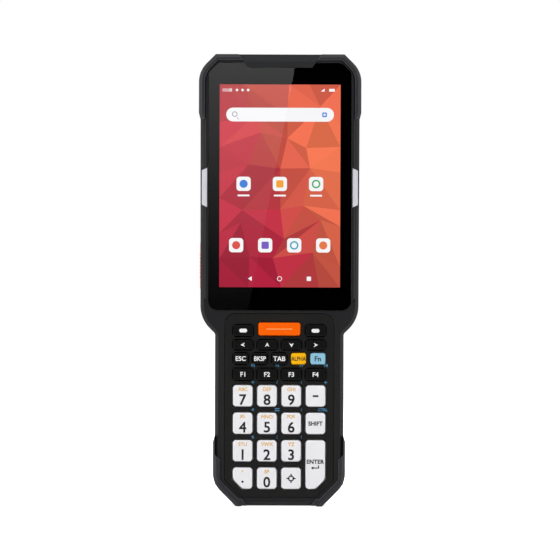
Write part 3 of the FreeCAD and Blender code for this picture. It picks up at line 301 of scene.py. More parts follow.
def moulded(name, base, edge, roughness, grain=2500.0, depth=0.25, radius=0.35, edge_wear_and_highlight=0.6,
            shine=0.15, dust=0.12):
    """Moulded plastic or rubber: grain, softened edges painted paler as a highlight and partly as
    scuffing, handling marks.
    """
    material, tree, shader = new_material(name, base)
    shader.inputs["Specular IOR Level"].default_value = shine
    height = roughened(tree, shader, roughness, grain, 0.16)
    edges = as_group(tree, "Worn Edge", {"Radius": radius * MM, "Sharpness": 5.0})
    marks = as_group(tree, "Handling", {"Scale": 55.0, "Amount": dust})
    # Edges are blended towards the edge colour: a painted highlight, partly scuffing.
    painted_edge_share = maths(tree, "MULTIPLY", edges["Mask"], edge_wear_and_highlight)
    greasy = [min(1.0, part * 1.6 + 0.006) for part in base]
    handled = blended(tree, marks["Mask"], rgba(base), rgba(greasy))
    tree.links.new(blended(tree, painted_edge_share, handled, rgba(edge)), shader.inputs["Base Color"])
    bump = put(tree, "ShaderNodeBump", {
        "Height": height, "Normal": edges["Normal"], "Strength": depth, "Distance": 0.02 * MM,
    })
    tree.links.new(bump.outputs[0], shader.inputs["Normal"])
    return material


def key_plastic(name, base, edge, roughness=0.36, depth=0.08, radius=0.2, edge_wear_and_highlight=0.3, shine=0.3):
    """Smooth plastic of a keycap, with no handling marks."""
    return moulded(name, base, edge, roughness, 3000.0, depth, radius, edge_wear_and_highlight, shine, dust=0.0)


def metal(name, base, roughness):
    """Metal with fine uneven polish."""
    material, tree, shader = new_material(name, base)
    shader.inputs["Metallic"].default_value = 1.0
    height = roughened(tree, shader, roughness, 1800.0, 0.25)
    bump = put(tree, "ShaderNodeBump", {"Height": height, "Strength": 0.1, "Distance": 0.01 * MM})
    tree.links.new(bump.outputs[0], shader.inputs["Normal"])
    return material


def clear(name, tint, roughness=0.0, weight=1.0):
    """Glass that is seen through."""
    material, _, shader = new_material(name, tint)
    shader.inputs["Transmission Weight"].default_value = weight
    shader.inputs["Roughness"].default_value = roughness
    shader.inputs["IOR"].default_value = 1.45
    return material


def printed(name, base, roughness=0.45, shine=0.3):
    """Ink with a faintly uneven surface."""
    material, tree, shader = new_material(name, base)
    shader.inputs["Specular IOR Level"].default_value = shine
    roughened(tree, shader, roughness, 3000.0, 0.1)
    return material


def lit(name):
    """The display's picture: each facet shines in its own colour."""
    material, tree, shader = new_material(name, (0.0, 0.0, 0.0))
    tint = put(tree, "ShaderNodeAttribute", attribute_name="tint")
    tree.links.new(tint.outputs["Color"], shader.inputs["Emission Color"])
    shader.inputs["Emission Strength"].default_value = 1.06
    shader.inputs["Roughness"].default_value = 0.6
    shader.inputs["Specular IOR Level"].default_value = 0.0
    return material


def milky(name, base):
    """Milky diffuser plastic."""
    material, tree, shader = new_material(name, base)
    roughened(tree, shader, 0.35, 900.0, 0.2)
    shader.inputs["Subsurface Weight"].default_value = 0.25
    shader.inputs["Subsurface Radius"].default_value = (1.0, 1.0, 1.0)
    shader.inputs["Subsurface Scale"].default_value = 1.0 * MM
    return material


def board(name, base, line):
    """Solder mask over copper tracks."""
    material, tree, shader = new_material(name, base)
    place = put(tree, "ShaderNodeTexCoord").outputs["Object"]
    tracks = put(tree, "ShaderNodeTexVoronoi", {"Vector": place, "Scale": 420.0},
                 distance="MANHATTAN")
    share = put(tree, "ShaderNodeMapRange", {0: tracks.outputs["Distance"], 1: 0.3, 2: 0.5})
    tint = blended(tree, share.outputs[0], rgba(base), rgba(line))
    tree.links.new(tint, shader.inputs["Base Color"])
    shader.inputs["Roughness"].default_value = 0.3
    return material


FINISH = {}


def make_finishes():
    tone = bpy.context.scene.terminal_colours
    grain_group()
    edge_group()
    dust_group()
    # Each finish's third colour (pale for most) is painted along its edges: a painted highlight,
    # partly scuffing.
    pale = linear("4c4e52")
    FINISH.update({
        "casing": moulded("Casing Plastic", tone.casing, pale, 0.5, 2200.0, 0.45, 0.4, 0.35),
        "bumper": moulded("Bumper Rubber", tone.bumper, linear("77797d"),
                          0.46, 1500.0, 0.35, 0.7, 0.5),
        "cowl": moulded("Cowl Plastic", tone.cowl, pale, 0.34, 2600.0, 0.2, 0.3, 0.45),
        "panel": moulded("Panel Plastic", tone.panel, linear("3a3a38"),
                         0.5, 2600.0, 0.3, 0.25, 0.35),
        "white": key_plastic("White Key Plastic", tone.white_key, linear("f2f1f4"),
                             roughness=0.32, depth=0.06, edge_wear_and_highlight=0.2),
        "black": key_plastic("Black Key Plastic", tone.black_key, linear("6c6d72"),
                             roughness=0.3, radius=0.25, edge_wear_and_highlight=0.6, shine=0.08),
        "scan": key_plastic("Orange Key Plastic", tone.scan, linear("ff8a30"), shine=0.06),
        "alpha": key_plastic("Yellow Key Plastic", tone.alpha, linear("ffd060"), shine=0.08),
        "fn": key_plastic("Blue Key Plastic", tone.fn, linear("a8dcf4")),
        "bead": key_plastic("Orange Bead Plastic", linear("ff9444"), linear("ffb070"),
                            roughness=0.4, shine=0.2),
        "black ink": printed("Black Ink", linear("101013")),
        "white ink": printed("White Ink", linear("f4f4f2")),
        "tan ink": printed("Tan Ink", linear("e6b566")),
        "blue ink": printed("Blue Ink", linear("4f93bd")),
        "border": printed("Printed Border", (0.0004, 0.0004, 0.0005), 0.6, 0.0),
        "glass": clear("Cover Glass", (1.0, 1.0, 1.0)),
        "picture": lit("Lit Display"),
        "light bar": milky("Light Bar Plastic", tone.light_bar),
        "flash": milky("Flash Diffuser", linear("e8e4c8")),
        "battery": moulded("Battery Plastic", tone.casing, pale, 0.55, 1700.0, 0.5, 0.4, 0.35),
        "flap": moulded("Flap Rubber", tone.bumper, pale, 0.6, 1300.0, 0.4, 0.3, 0.4),
        "steel": metal("Screw Steel", (0.32, 0.32, 0.34), 0.34),
        "gold": metal("Gold Plating", (0.85, 0.62, 0.28), 0.25),
        "anodised": metal("Anodised Ring", (0.09, 0.09, 0.1), 0.35),
        "lens": clear("Lens Glass", (0.03, 0.04, 0.07), 0.0, 0.4),
        "window": clear("Scan Window", (0.25, 0.01, 0.012), 0.02, 0.5),
        "rubber": moulded("Mat Rubber", linear("8d9094"), linear("b0b2b6"),
                          0.6, 1500.0, 0.2, 0.2, 0.2),
        "board": board("Board Mask", (0.01, 0.09, 0.04), (0.02, 0.16, 0.07)),
        "mesh": moulded("Speaker Mesh", (0.012, 0.012, 0.013), pale, 0.6, 4000.0, 0.8, 0.1, 0.1),
    })


# Mesh helpers


def new_piece(name, bm, finishes, body, replaces=()):
    """A finished piece from a bmesh, riding on its body."""
    mesh = bpy.data.meshes.new(name)
    bm.to_mesh(mesh)
    bm.free()
    for finish in finishes:
        mesh.materials.append(FINISH[finish])
    mesh.shade_smooth()
    mesh.set_sharp_from_angle(angle=SMOOTH_ANGLE)
    piece = bpy.data.objects.new(name, mesh)
    bpy.context.scene.collection.objects.link(piece)
    normals = piece.modifiers.new("Even Normals", "WEIGHTED_NORMAL")
    normals.keep_sharp = True
    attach(piece, body)
    if replaces:
        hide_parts(*replaces)
    return piece


def merged(node):
    """A bmesh copy of a CAD node with its loose triangles joined into flat faces."""
    bm = bmesh.new()
    bm.from_mesh(NODES[node].data)
    bmesh.ops.remove_doubles(bm, verts=bm.verts, dist=0.002 * MM)
    bmesh.ops.dissolve_limit(bm, angle_limit=math.radians(0.6), verts=bm.verts, edges=bm.edges)
    return bm


def dressed(node, finish, body):
    """A smooth-shaded stand-in for a CAD node, in its finish."""
    return new_piece(node + "_skin", merged(node), [finish], body, (node,))


def painted(node, finish):
    """A CAD node that stays, in a better finish."""
    piece = NODES[node]
    if not piece.material_slots:
        piece.data.materials.append(FINISH[finish])
    for slot in piece.material_slots:
        slot.material = FINISH[finish]


def mark(faces, number):
    for face in faces:
        face.material_index = number


def flat(bm, corners, front, number=0, rounding=0.0):
    """A flat shape facing the viewer, from (across, up) corners, with rounded corners."""
    verts = [bm.verts.new((x, front, z)) for x, z in corners]
    face = bm.faces.new(verts)
    face.material_index = number
    if rounding:
        bmesh.ops.bevel(
            bm, geom=verts, offset=rounding, offset_type="OFFSET", segments=5,
            profile=0.5, affect="VERTICES", material=-1,
        )
    return face


def rectangle(across, up, wide, tall):
    return [
        (across - wide / 2, up - tall / 2), (across + wide / 2, up - tall / 2),
        (across + wide / 2, up + tall / 2), (across - wide / 2, up + tall / 2),
    ]


def facing(across, front, up):
    return Matrix.Translation((across, front, up)) @ Matrix.Rotation(math.pi / 2, 4, "X")


def disc(bm, across, up, radius, front, number=0):
    made = bmesh.ops.create_circle(
        bm, cap_ends=True, segments=DISC_SIDES, radius=radius, matrix=facing(across, front, up)
    )
    faces = {face for vert in made["verts"] for face in vert.link_faces}
    mark(faces, number)
    return faces


def ring(bm, across, up, radius, thick, front, number=0):
    faces = list(disc(bm, across, up, radius, front, number))
    bmesh.ops.inset_individual(bm, faces=faces, thickness=thick)
    bmesh.ops.delete(bm, geom=faces, context="FACES_ONLY")


def words(bm, text, height, across, up, front, number, bold, wide=1.0):
    """Lettering of a cap height, centred on a place and facing the viewer.

    It is laid four times, a little apart, so that its strokes are as bold as asked.
    """
    curve = bpy.data.curves.new("words", "FONT")
    curve.body = text
    curve.size = 1.0
    curve.resolution_u = 3
    holder = bpy.data.objects.new("words", curve)
    mesh = bpy.data.meshes.new_from_object(holder)
    bpy.data.objects.remove(holder)
    bpy.data.curves.remove(curve)
    xs = [v.co.x for v in mesh.vertices]
    ys = [v.co.y for v in mesh.vertices]
    scale = height / (max(ys) - min(ys))
    middle = Vector(((max(xs) + min(xs)) / 2, (max(ys) + min(ys)) / 2, 0.0))
    mesh.transform(
        facing(across, front, up)
        @ Matrix.Diagonal((scale * wide, scale, scale, 1.0))
        @ Matrix.Translation(-middle)
    )
    before = set(bm.faces)
    shift = bold * height
    for step in ((-shift, 0, -shift), (2 * shift, 0, 0), (0, 0, 2 * shift), (-2 * shift, 0, 0)):
        mesh.transform(Matrix.Translation(step) @ Matrix.Translation((0, PRINT_STEP, 0)))
        bm.from_mesh(mesh)
    bpy.data.meshes.remove(mesh)
    mark(set(bm.faces) - before, number)


# Pieces


class TERMINAL_OT_finishes(bpy.types.Operator):
    """Builds the shader groups and every finish of the terminal"""

    bl_idname = "terminal.finishes"
    bl_label = "Finishes"

    def execute(self, context):
        make_finishes()
        return {"FINISHED"}


class TERMINAL_OT_casing(bpy.types.Operator):
    """Dresses the two housings, the bumpers and the scanner cowl"""

    bl_idname = "terminal.casing"
    bl_label = "Casing and Bumpers"

    def execute(self, context):
        dressed("front_housing", "casing", "terminal")
        dressed("rear_housing", "casing", "terminal")
        dressed("upper_bumper", "bumper", "terminal")
        dressed("lower_bumper", "bumper", "terminal")
        dressed("scanner_cowl", "cowl", "terminal")
        return {"FINISHED"}


class TERMINAL_OT_panel(bpy.types.Operator):
    """Dresses the keypad panel and prints its small blue legends"""

    bl_idname = "terminal.panel"
    bl_label = "Keypad Panel"

    def execute(self, context):
        sizes = context.scene.terminal_sizes
        dressed("keypad_panel", "panel", "terminal")
        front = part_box("keypad_panel")[0].y - sizes.ink
        bm = bmesh.new()
        for key, print_text in PANEL_PRINTS.items():
            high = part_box(key)[1]
            place = high.x - (1.8 if print_text == "CTRL" else 0.5) * MM
            words(bm, print_text, sizes.prints, place, high.z + 0.75 * MM, front, 0,
                  BOLD["print"])
        new_piece("panel_prints", bm, ["blue ink"], "terminal")
        return {"FINISHED"}


def cap(node, corner, edge, cut_side=None):
    """A keycap with round corners and a soft top edge on the CAD key's flange and stem.

    Two keys have a lower corner cut off, on the side that cut_side names. Gives the cap, the
    middle of its face and the depth of its face.
    """
    low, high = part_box(node)
    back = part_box("keypad_panel")[1].y + CAP_OVERLAP
    left, right = low.x + KEY_FLANGE, high.x - KEY_FLANGE
    bottom, top = low.z + KEY_FLANGE, high.z - KEY_FLANGE
    corners = [(left, bottom), (right, bottom), (right, top), (left, top)]
    if cut_side == "right":
        corners[1:2] = [(right - KEY_CUT, bottom), (right, bottom + KEY_CUT)]
    if cut_side == "left":
        corners[0:1] = [(left, bottom + KEY_CUT), (left + KEY_CUT, bottom)]
    bm = bmesh.new()
    flat(bm, corners, back, 0, corner)
    grown = bmesh.ops.extrude_face_region(bm, geom=bm.faces[:])
    lifted = [part for part in grown["geom"] if isinstance(part, bmesh.types.BMVert)]
    face = next(part for part in grown["geom"] if isinstance(part, bmesh.types.BMFace))
    bmesh.ops.translate(bm, verts=lifted, vec=(0, low.y - back, 0))
    inset = (back - low.y) * math.tan(KEY_DRAFT)
    middle = Vector(((left + right) / 2, 0, (bottom + top) / 2))
    shrink = (1 - 2 * inset / (right - left), 1, 1 - 2 * inset / (top - bottom))
    bmesh.ops.scale(bm, vec=shrink, space=Matrix.Translation(-middle), verts=lifted)
    bmesh.ops.bevel(
        bm, geom=face.edges[:], offset=edge, offset_type="OFFSET", segments=4,
        profile=0.5, affect="EDGES", material=-1,
    )
    bmesh.ops.recalc_face_normals(bm, faces=bm.faces)
    keep_rear(bm, node, back)
    return bm, middle.x, middle.z, low.y


def keep_rear(bm, node, back):
    """Adds what the CAD node has behind a depth: a key's flange and stem."""
    rear = merged(node)
    bmesh.ops.bisect_plane(
        rear, geom=rear.verts[:] + rear.edges[:] + rear.faces[:], dist=1e-7,
        plane_co=(0, back + 0.01 * MM, 0), plane_no=(0, -1, 0), clear_outer=True,
    )
    mesh = bpy.data.meshes.new("rear")
    rear.to_mesh(mesh)
    rear.free()
    bm.from_mesh(mesh)
    bpy.data.meshes.remove(mesh)


class TERMINAL_OT_number_keys(bpy.types.Operator):
    """Moulds the white keys with their digits and letters"""

    bl_idname = "terminal.number_keys"
    bl_label = "Number Keys"

    def execute(self, context):
        sizes = context.scene.terminal_sizes
        for node, (large, small) in WHITE_KEYS.items():
            bm, x, z, y = cap(node, sizes.key_corner, sizes.key_edge, CUT_KEYS.get(node))
            front = y - sizes.ink
            if large.isdigit():
                words(bm, large, sizes.digit, x, z - sizes.digit_drop, front, LEGEND,
                      BOLD["digit"])
                words(bm, small, sizes.letters, x, z + sizes.letters_rise, front, LETTERS,
                      BOLD["letters"])
            elif large == "-":
                flat(bm, rectangle(x, z, 2.6 * MM, 0.85 * MM), front, LEGEND)
            elif large == ".":
                disc(bm, x, z - 1.6 * MM, 0.55 * MM, front, LEGEND)
                flat(bm, rectangle(x, z + 3.3 * MM, 0.45 * MM, 1.0 * MM), front, LETTERS)
            elif large == "+":
                self.target(bm, x, z, front)
            elif large == "ENTER":
                words(bm, large, sizes.words, x, z + 1.4 * MM, front, LEGEND, BOLD["words"])
                self.return_arrow(bm, x, z - 1.5 * MM, front)
            else:
                words(bm, large, sizes.words, x, z, front, LEGEND, BOLD["words"])
            new_piece(node + "_cap", bm, ["white", "black ink", "tan ink"],
                      node, (node,))
        return {"FINISHED"}

    def target(self, bm, x, z, front):
        """A ring with a stroke across each of its four quarters."""
        stroke, wide, reach = 1.4 * MM, 0.6 * MM, 1.4 * MM
        ring(bm, x, z, reach, 0.55 * MM, front, LEGEND)
        for way in (-1, 1):
            flat(bm, rectangle(x, z + way * reach, wide, stroke), front, LEGEND)
        for way in (-1, 1):
            flat(bm, rectangle(x + way * reach, z, stroke, wide), front, LEGEND)

    def return_arrow(self, bm, x, z, front):
        """An arrow that comes down and then points left."""
        stroke, tip, head = 0.5 * MM, x - 2.1 * MM, 0.75 * MM
        flat(bm, rectangle(x + 0.2 * MM, z, 3.0 * MM, stroke), front, LEGEND)
        flat(bm, rectangle(x + 1.5 * MM, z + 0.5 * MM, stroke, 1.5 * MM), front, LEGEND)
        barb = tip + 1.2 * MM
        flat(bm, [(tip, z), (barb, z - head), (barb, z + head)], front, LEGEND)


class TERMINAL_OT_function_keys(bpy.types.Operator):
    """Moulds the black function, arrow and soft keys with white legends"""

    bl_idname = "terminal.function_keys"
    bl_label = "Function Keys"

    def execute(self, context):
        sizes = context.scene.terminal_sizes
        for node, text in DARK_KEYS.items():
            bm, x, z, y = cap(node, sizes.small_corner, sizes.key_edge * 0.8)
            front = y - sizes.ink
            if text == "bar":
                flat(bm, rectangle(x, z, 3.6 * MM, 1.75 * MM), front, LEGEND, 0.8 * MM)
            elif text in ARROW_TURNS:
                turn = Matrix.Rotation(ARROW_TURNS[text] * math.pi / 2, 2)
                shape = [turn @ Vector(point) * MM for point in ARROW]
                flat(bm, [(x + p.x, z + p.y) for p in shape], front, LEGEND)
            else:
                wide = 1.0 if len(text) < 4 else 0.84
                words(bm, text, sizes.dark_words, x, z, front, LEGEND, BOLD["dark"], wide)
            new_piece(node + "_cap", bm, ["black", "white ink"], node, (node,))
        return {"FINISHED"}


class TERMINAL_OT_colour_keys(bpy.types.Operator):
    """Moulds the orange scan key and the yellow and blue shift keys"""

    bl_idname = "terminal.colour_keys"
    bl_label = "Colour Keys"

    def execute(self, context):
        sizes = context.scene.terminal_sizes
        for node, (finish, slot, text, height, wide) in COLOUR_KEYS.items():
            bm, x, z, y = cap(node, sizes.small_corner, sizes.key_edge)
            if text:
                words(bm, text, height, x, z, y - sizes.ink, LEGEND, BOLD["colour"], wide)
            else:
                rib(bm, (x, y, z), (12.0, 0.4, 0.7), 0.18, 3, BEAD)
            new_piece(node + "_cap", bm, [finish, "black ink", "bead"], node, (node,))
        return {"FINISHED"}


def rib(bm, place, size, edge=0.15, steps=2, number=0):
    """A small rounded bar moulded on a surface; the size and the edge are in millimetres."""
    made = bmesh.ops.create_cube(bm, size=1.0, matrix=Matrix.Translation(place)
                                 @ Matrix.Diagonal((*(side * MM for side in size), 1.0)))
    if number:
        mark({face for vert in made["verts"] for face in vert.link_faces}, number)
    edges = {e for v in made["verts"] for e in v.link_edges}
    bmesh.ops.bevel(bm, geom=list(edges), offset=edge * MM, offset_type="OFFSET", segments=steps,
                    profile=0.5, affect="EDGES", material=-1)


SCREEN_LOW = Vector((-28.05 * MM, 0, 101.8 * MM))
SCREEN_HIGH = Vector((28.05 * MM, 0, 195.95 * MM))
WHITE, GREY, BLUE = linear("f4f4f6"), linear("8a8f96"), linear("4f86d8")
TILE_TONES = [linear(code) for code in (
    "3f7fd6", "f2a33a", "47a866", "d9534a", "7a5fc0", "36a3b5", "e3794b",
)]
PICTURE_TONES = [linear(code) for code in ("a81f3c", "c23a48", "f07c52", "c9434a")]


def facet_tone(x, z, rng):
    """The colour of one facet of the picture, from its place between 0 and 1."""
    low, left, right, top = (Vector(tone) for tone in PICTURE_TONES)
    tone = low.lerp(left, min(1.0, z * 1.6))
    tone = tone.lerp(right, max(0.0, min(1.0, 1.5 * x + 0.9 * z - 0.9)) * 0.85)
    tone = tone.lerp(top, max(0.0, z - 0.72) * 1.6)
    return tone * rng.uniform(0.72, 1.18)


class TERMINAL_OT_screen(bpy.types.Operator):
    """Lays the lit picture and the printed border behind the cover glass"""

    bl_idname = "terminal.screen"
    bl_label = "Screen"

    def execute(self, context):
        painted("cover_glass", "glass")
        painted("display_module", "border")
        self.border()
        self.picture()
        return {"FINISHED"}

    def border(self):
        """The black print on the back of the glass, with a hole for the lit area."""
        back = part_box("cover_glass")[1].y - BORDER_DEPTH
        low, high = SCREEN_LOW, SCREEN_HIGH
        bm = merged("cover_glass")
        bmesh.ops.bisect_plane(
            bm, geom=bm.verts[:] + bm.edges[:] + bm.faces[:], dist=1e-7,
            plane_co=(0, back, 0), plane_no=(0, -1, 0), clear_outer=True, clear_inner=True,
        )
        hole = [bm.verts.new((x, back, z)) for x, z in (
            (low.x, low.z), (high.x, low.z), (high.x, high.z), (low.x, high.z))]
        for first, second in zip(hole, hole[1:] + hole[:1]):
            bm.edges.new((first, second))
        bmesh.ops.triangle_fill(bm, edges=bm.edges[:], use_beauty=True, use_dissolve=False)
        middles = {face: face.calc_center_median() for face in bm.faces}
        doomed = [face for face, spot in middles.items()
                  if low.x < spot.x < high.x and low.z < spot.z < high.z]
        bmesh.ops.delete(bm, geom=doomed, context="FACES_ONLY")
        for face in bm.faces:
            if face.normal.y > 0:
                face.normal_flip()
        new_piece("printed_border", bm, ["border"], "terminal")

    def picture(self):
        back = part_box("cover_glass")[1].y
        bm = bmesh.new()
        self.tint = bm.loops.layers.float_color.new("tint")
        self.facets(bm, back - 2 * PICTURE_LAYER)
        self.front = back - 3 * PICTURE_LAYER
        self.search_field(bm)
        self.tiles(bm)
        self.foot_signs(bm)
        self.status_line(bm)
        new_piece("lit_picture", bm, ["picture"], "terminal")

    def shade(self, faces, tone):
        for face in faces:
            for loop in face.loops:
                loop[self.tint] = (*tone, 1.0)

    def toned(self, bm, tone, draw, *given):
        """Draws with one of the flat helpers and gives the new faces a tone."""
        before = set(bm.faces)
        draw(bm, *given)
        self.shade(set(bm.faces) - before, tone)

    def shape(self, bm, tone, corners, lift=0, rounding=0.0):
        self.toned(bm, tone, flat, corners, self.front - lift * PICTURE_LAYER, 0, rounding)

    def dot(self, bm, tone, x, z, radius, lift=0):
        self.toned(bm, tone, disc, x, z, radius, self.front - lift * PICTURE_LAYER)

    def hoop(self, bm, tone, x, z, radius, thick, lift=0):
        self.toned(bm, tone, ring, x, z, radius, thick, self.front - lift * PICTURE_LAYER)

    def facets(self, bm, front):
        """A made-up pattern of triangles on an uneven grid."""
        rng = random.Random(11)
        columns, rows = 4, 7

        def spot(column, row):
            x = column / columns
            z = row / rows
            if 0 < column < columns:
                x += rng.uniform(-0.09, 0.09)
            if 0 < row < rows:
                z += rng.uniform(-0.05, 0.05)
            return x, z

        grid = [[spot(c, r) for c in range(columns + 1)] for r in range(rows + 1)]
        wide, tall = SCREEN_HIGH.x - SCREEN_LOW.x, SCREEN_HIGH.z - SCREEN_LOW.z
        for r in range(rows):
            for c in range(columns):
                a, b, d, e = grid[r][c], grid[r][c + 1], grid[r + 1][c + 1], grid[r + 1][c]
                halves = ((a, b, d), (a, d, e)) if rng.random() < 0.5 else ((a, b, e), (b, d, e))
                for half in halves:
                    corners = [(SCREEN_LOW.x + x * wide, SCREEN_LOW.z + z * tall) for x, z in half]
                    middle = [sum(values) / 3 for values in zip(*half)]
                    self.shade([flat(bm, corners, front)], facet_tone(*middle, rng))

    def search_field(self, bm):
        left, right, z = SCREEN_LOW.x, SCREEN_HIGH.x, SCREEN_HIGH.z - 14.0 * MM
        self.shape(bm, WHITE, rectangle((left + right) / 2, z, 50.0 * MM, 6.4 * MM), 0, 3.15 * MM)
        self.hoop(bm, GREY, left + 7.0 * MM, z + 0.2 * MM, 1.25 * MM, 0.35 * MM, 1)
        handle = ((7.8, -0.9), (8.1, -1.2), (9.0, -2.1), (8.6, -2.3))
        self.shape(bm, GREY, [(left + x * MM, z + up * MM) for x, up in handle], 1)
        across = right - 7.4 * MM
        self.shape(bm, BLUE, rectangle(across, z, 2.2 * MM, 2.2 * MM), 1, 0.5 * MM)
        self.dot(bm, WHITE, across, z, 0.55 * MM, 2)

    def tiles(self, bm):
        """Two rows of blank tiles with plain shapes; the upper row has a bar under each tile."""
        wide = SCREEN_HIGH.x - SCREEN_LOW.x
        upper = [(share, 48.0) for share in (0.2, 0.5, 0.8)]
        lower = [(0.14 + 0.24 * step, 19.5) for step in range(4)]
        for number, ((share, up), tone) in enumerate(zip(upper + lower, TILE_TONES)):
            x, z = SCREEN_LOW.x + share * wide, SCREEN_LOW.z + up * MM
            self.shape(bm, WHITE, rectangle(x, z, 6.6 * MM, 6.6 * MM), 0, 1.5 * MM)
            if number % 3 == 0:
                self.dot(bm, tone, x, z, 1.9 * MM, 1)
            elif number % 3 == 1:
                self.shape(bm, tone, rectangle(x, z, 3.4 * MM, 3.4 * MM), 1, 0.6 * MM)
            else:
                self.hoop(bm, tone, x, z, 2.0 * MM, 0.7 * MM, 1)
            if (share, up) in upper:
                bar = rectangle(x, z - 5.4 * MM, 5.6 * MM, 0.8 * MM)
                self.shape(bm, WHITE, bar, 0, 0.3 * MM)

    def foot_signs(self, bm):
        x, z = (SCREEN_LOW.x + SCREEN_HIGH.x) / 2, SCREEN_LOW.z + 4.0 * MM
        self.hoop(bm, WHITE, x, z, 1.15 * MM, 0.3 * MM)
        tip, tail, half = x - 14.6 * MM, x - 12.9 * MM, 1.1 * MM
        self.shape(bm, WHITE, [(tip, z), (tail, z - half), (tail, z + half)])
        self.shape(bm, WHITE, rectangle(x + 13.6 * MM, z, 2.0 * MM, 2.0 * MM), 0, 0.3 * MM)

    def status_line(self, bm):
        left, right, z = SCREEN_LOW.x, SCREEN_HIGH.x, SCREEN_HIGH.z - 2.6 * MM
        self.toned(bm, WHITE, words, "10:08", 1.5 * MM, left + 3.6 * MM, z, self.front, 0,
                   BOLD["clock"])
        for step in range(3):
            self.dot(bm, WHITE, left + (8.0 + 2.6 * step) * MM, z, 0.6 * MM)
        self.shape(bm, WHITE, rectangle(right - 4.0 * MM, z, 2.6 * MM, 1.3 * MM), 0, 0.2 * MM)
        low, top = z - 0.6 * MM, z + 0.8 * MM
        tip, side = right - 9.2 * MM, right - 7.4 * MM
        self.shape(bm, WHITE, [(tip, low), (side, low), (side, top)])


class TERMINAL_OT_side_parts(bpy.types.Operator):
    """Dresses the light bars, the side button and the port with its flap"""

    bl_idname = "terminal.side_parts"
    bl_label = "Side Parts"

    def execute(self, context):
        dressed("light_bar_left", "light bar", "terminal")
        dressed("light_bar_right", "light bar", "terminal")
        self.button()
        self.flap()
        painted("port_socket", "steel")
        return {"FINISHED"}

    def button(self):
        low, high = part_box("side_scan_button")
        bm = merged("side_scan_button")
        middle = (low + high) / 2
        for step in range(-3, 4):
            rib(bm, (low.x, middle.y, middle.z + step * 1.7 * MM), (0.5, 5.6, 0.6))
        new_piece("side_scan_button_ribbed", bm, ["scan"],
                  "scan_button", ("side_scan_button",))

    def flap(self):
        low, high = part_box("port_flap")
        bm = merged("port_flap")
        y, z = (low.y + high.y) / 2, high.z - 2.4 * MM
        for step in range(2):
            rib(bm, (high.x, y, z - step * 1.8 * MM), (0.4, 4.6, 0.9))
        new_piece("port_flap_ribbed", bm, ["flap"], "flap", ("port_flap",))


class TERMINAL_OT_back(bpy.types.Operator):
    """Dresses the battery, latch, camera, flash, loudspeaker and screws"""

    bl_idname = "terminal.back"
    bl_label = "Back"

    def execute(self, context):
        self.battery()
        self.latch()
        self.camera()
        dressed("flash_lens", "flash", "terminal")
        painted("loudspeaker", "mesh")
        self.screws()
        return {"FINISHED"}

    def battery(self):
        low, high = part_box("battery_pack")
        bm = merged("battery_pack")
        for step in range(5):
            rib(bm, (0, high.y, low.z + (6.0 + 2.2 * step) * MM), (22.0, 0.5, 0.9))
        new_piece("battery_pack_ribbed", bm, ["battery"],
                  "battery", ("battery_pack",))

    def latch(self):
        low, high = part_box("battery_latch")
        bm = merged("battery_latch")
        for step in range(-3, 4):
            rib(bm, (step * 1.7 * MM, high.y, (low.z + high.z) / 2), (0.7, 0.5, 3.0))
        new_piece("battery_latch_ribbed", bm, ["battery"], "latch", ("battery_latch",))

    def camera(self):
        dressed("camera_ring", "anodised", "terminal")
        dressed("camera_lens", "lens", "terminal")
        low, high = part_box("camera_lens")
        middle = (low + high) / 2
        bm = bmesh.new()
        turned = (Matrix.Translation((middle.x, low.y - 0.02 * MM, middle.z))
                  @ Matrix.Rotation(-math.pi / 2, 4, "X"))
        made = bmesh.ops.create_circle(
            bm, cap_ends=True, segments=40, radius=2.95 * MM, matrix=turned
        )
        face = made["verts"][0].link_faces[0]
        for thick, depth in ((0.5, 0.25), (0.5, 0.25), (0.4, 0.3)):
            bmesh.ops.inset_individual(bm, faces=[face], thickness=thick * MM)
            grown = bmesh.ops.extrude_discrete_faces(bm, faces=[face])
            face = grown["faces"][0]
            bmesh.ops.translate(bm, verts=face.verts[:], vec=(0, -depth * MM, 0))
        new_piece("camera_barrel", bm, ["anodised"], "terminal")

    def screws(self):
        bm = merged("housing_screws")
        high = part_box("housing_screws")[1]
        tops = [face for face in bm.faces
                if face.normal.y > 0.9 and abs(face.calc_center_median().y - high.y) < 0.01 * MM]
        # Each head gets a thin near-black cross in the border finish: painted shade where a
        # recessed cross slot would be.
        for face in tops:
            centre = face.calc_center_median()
            for turn in range(2):
                matrix = (Matrix.Translation((centre.x, high.y, centre.z))
                          @ Matrix.Rotation(turn * math.pi / 2 + 0.3, 4, "Y")
                          @ Matrix.Diagonal((2.4 * MM, 0.04 * MM, 0.45 * MM, 1.0)))
                cross = bmesh.ops.create_cube(bm, size=1.0, matrix=matrix)
                mark({f for v in cross["verts"] for f in v.link_faces}, 1)
        new_piece("housing_screws_recessed", bm, ["steel", "border"],
                  "terminal", ("housing_screws",))


class TERMINAL_OT_inside(bpy.types.Operator):
    """Finishes what lies inside: boards, mat, domes, scan engine and contacts"""

    bl_idname = "terminal.inside"
    bl_label = "Inside"

    def execute(self, context):
        for node, finish in {
            "keypad_board": "board", "main_board": "board", "keypad_mat": "rubber",
            "dome_switches": "gold", "battery_contacts": "gold", "cradle_contacts": "gold",
            "scan_engine": "mesh", "scan_window": "window",
        }.items():
            painted(node, finish)
        return {"FINISHED"}


# Stage


def seen_rays(tree):
    """1 for the rays that the camera, a mirror or glass sees by, and 0 for the rest."""
    path = put(tree, "ShaderNodeLightPath").outputs
    seen = maths(tree, "MAXIMUM", path["Is Camera Ray"], path["Is Transmission Ray"])
    return maths(tree, "MAXIMUM", seen, path["Is Glossy Ray"])


def stage_mesh(name, bm, material):
    mesh = bpy.data.meshes.new(name)
    bm.to_mesh(mesh)
    bm.free()
    mesh.materials.append(material)
    made = bpy.data.objects.new(name, mesh)
    bpy.context.scene.collection.objects.link(made)
    return made


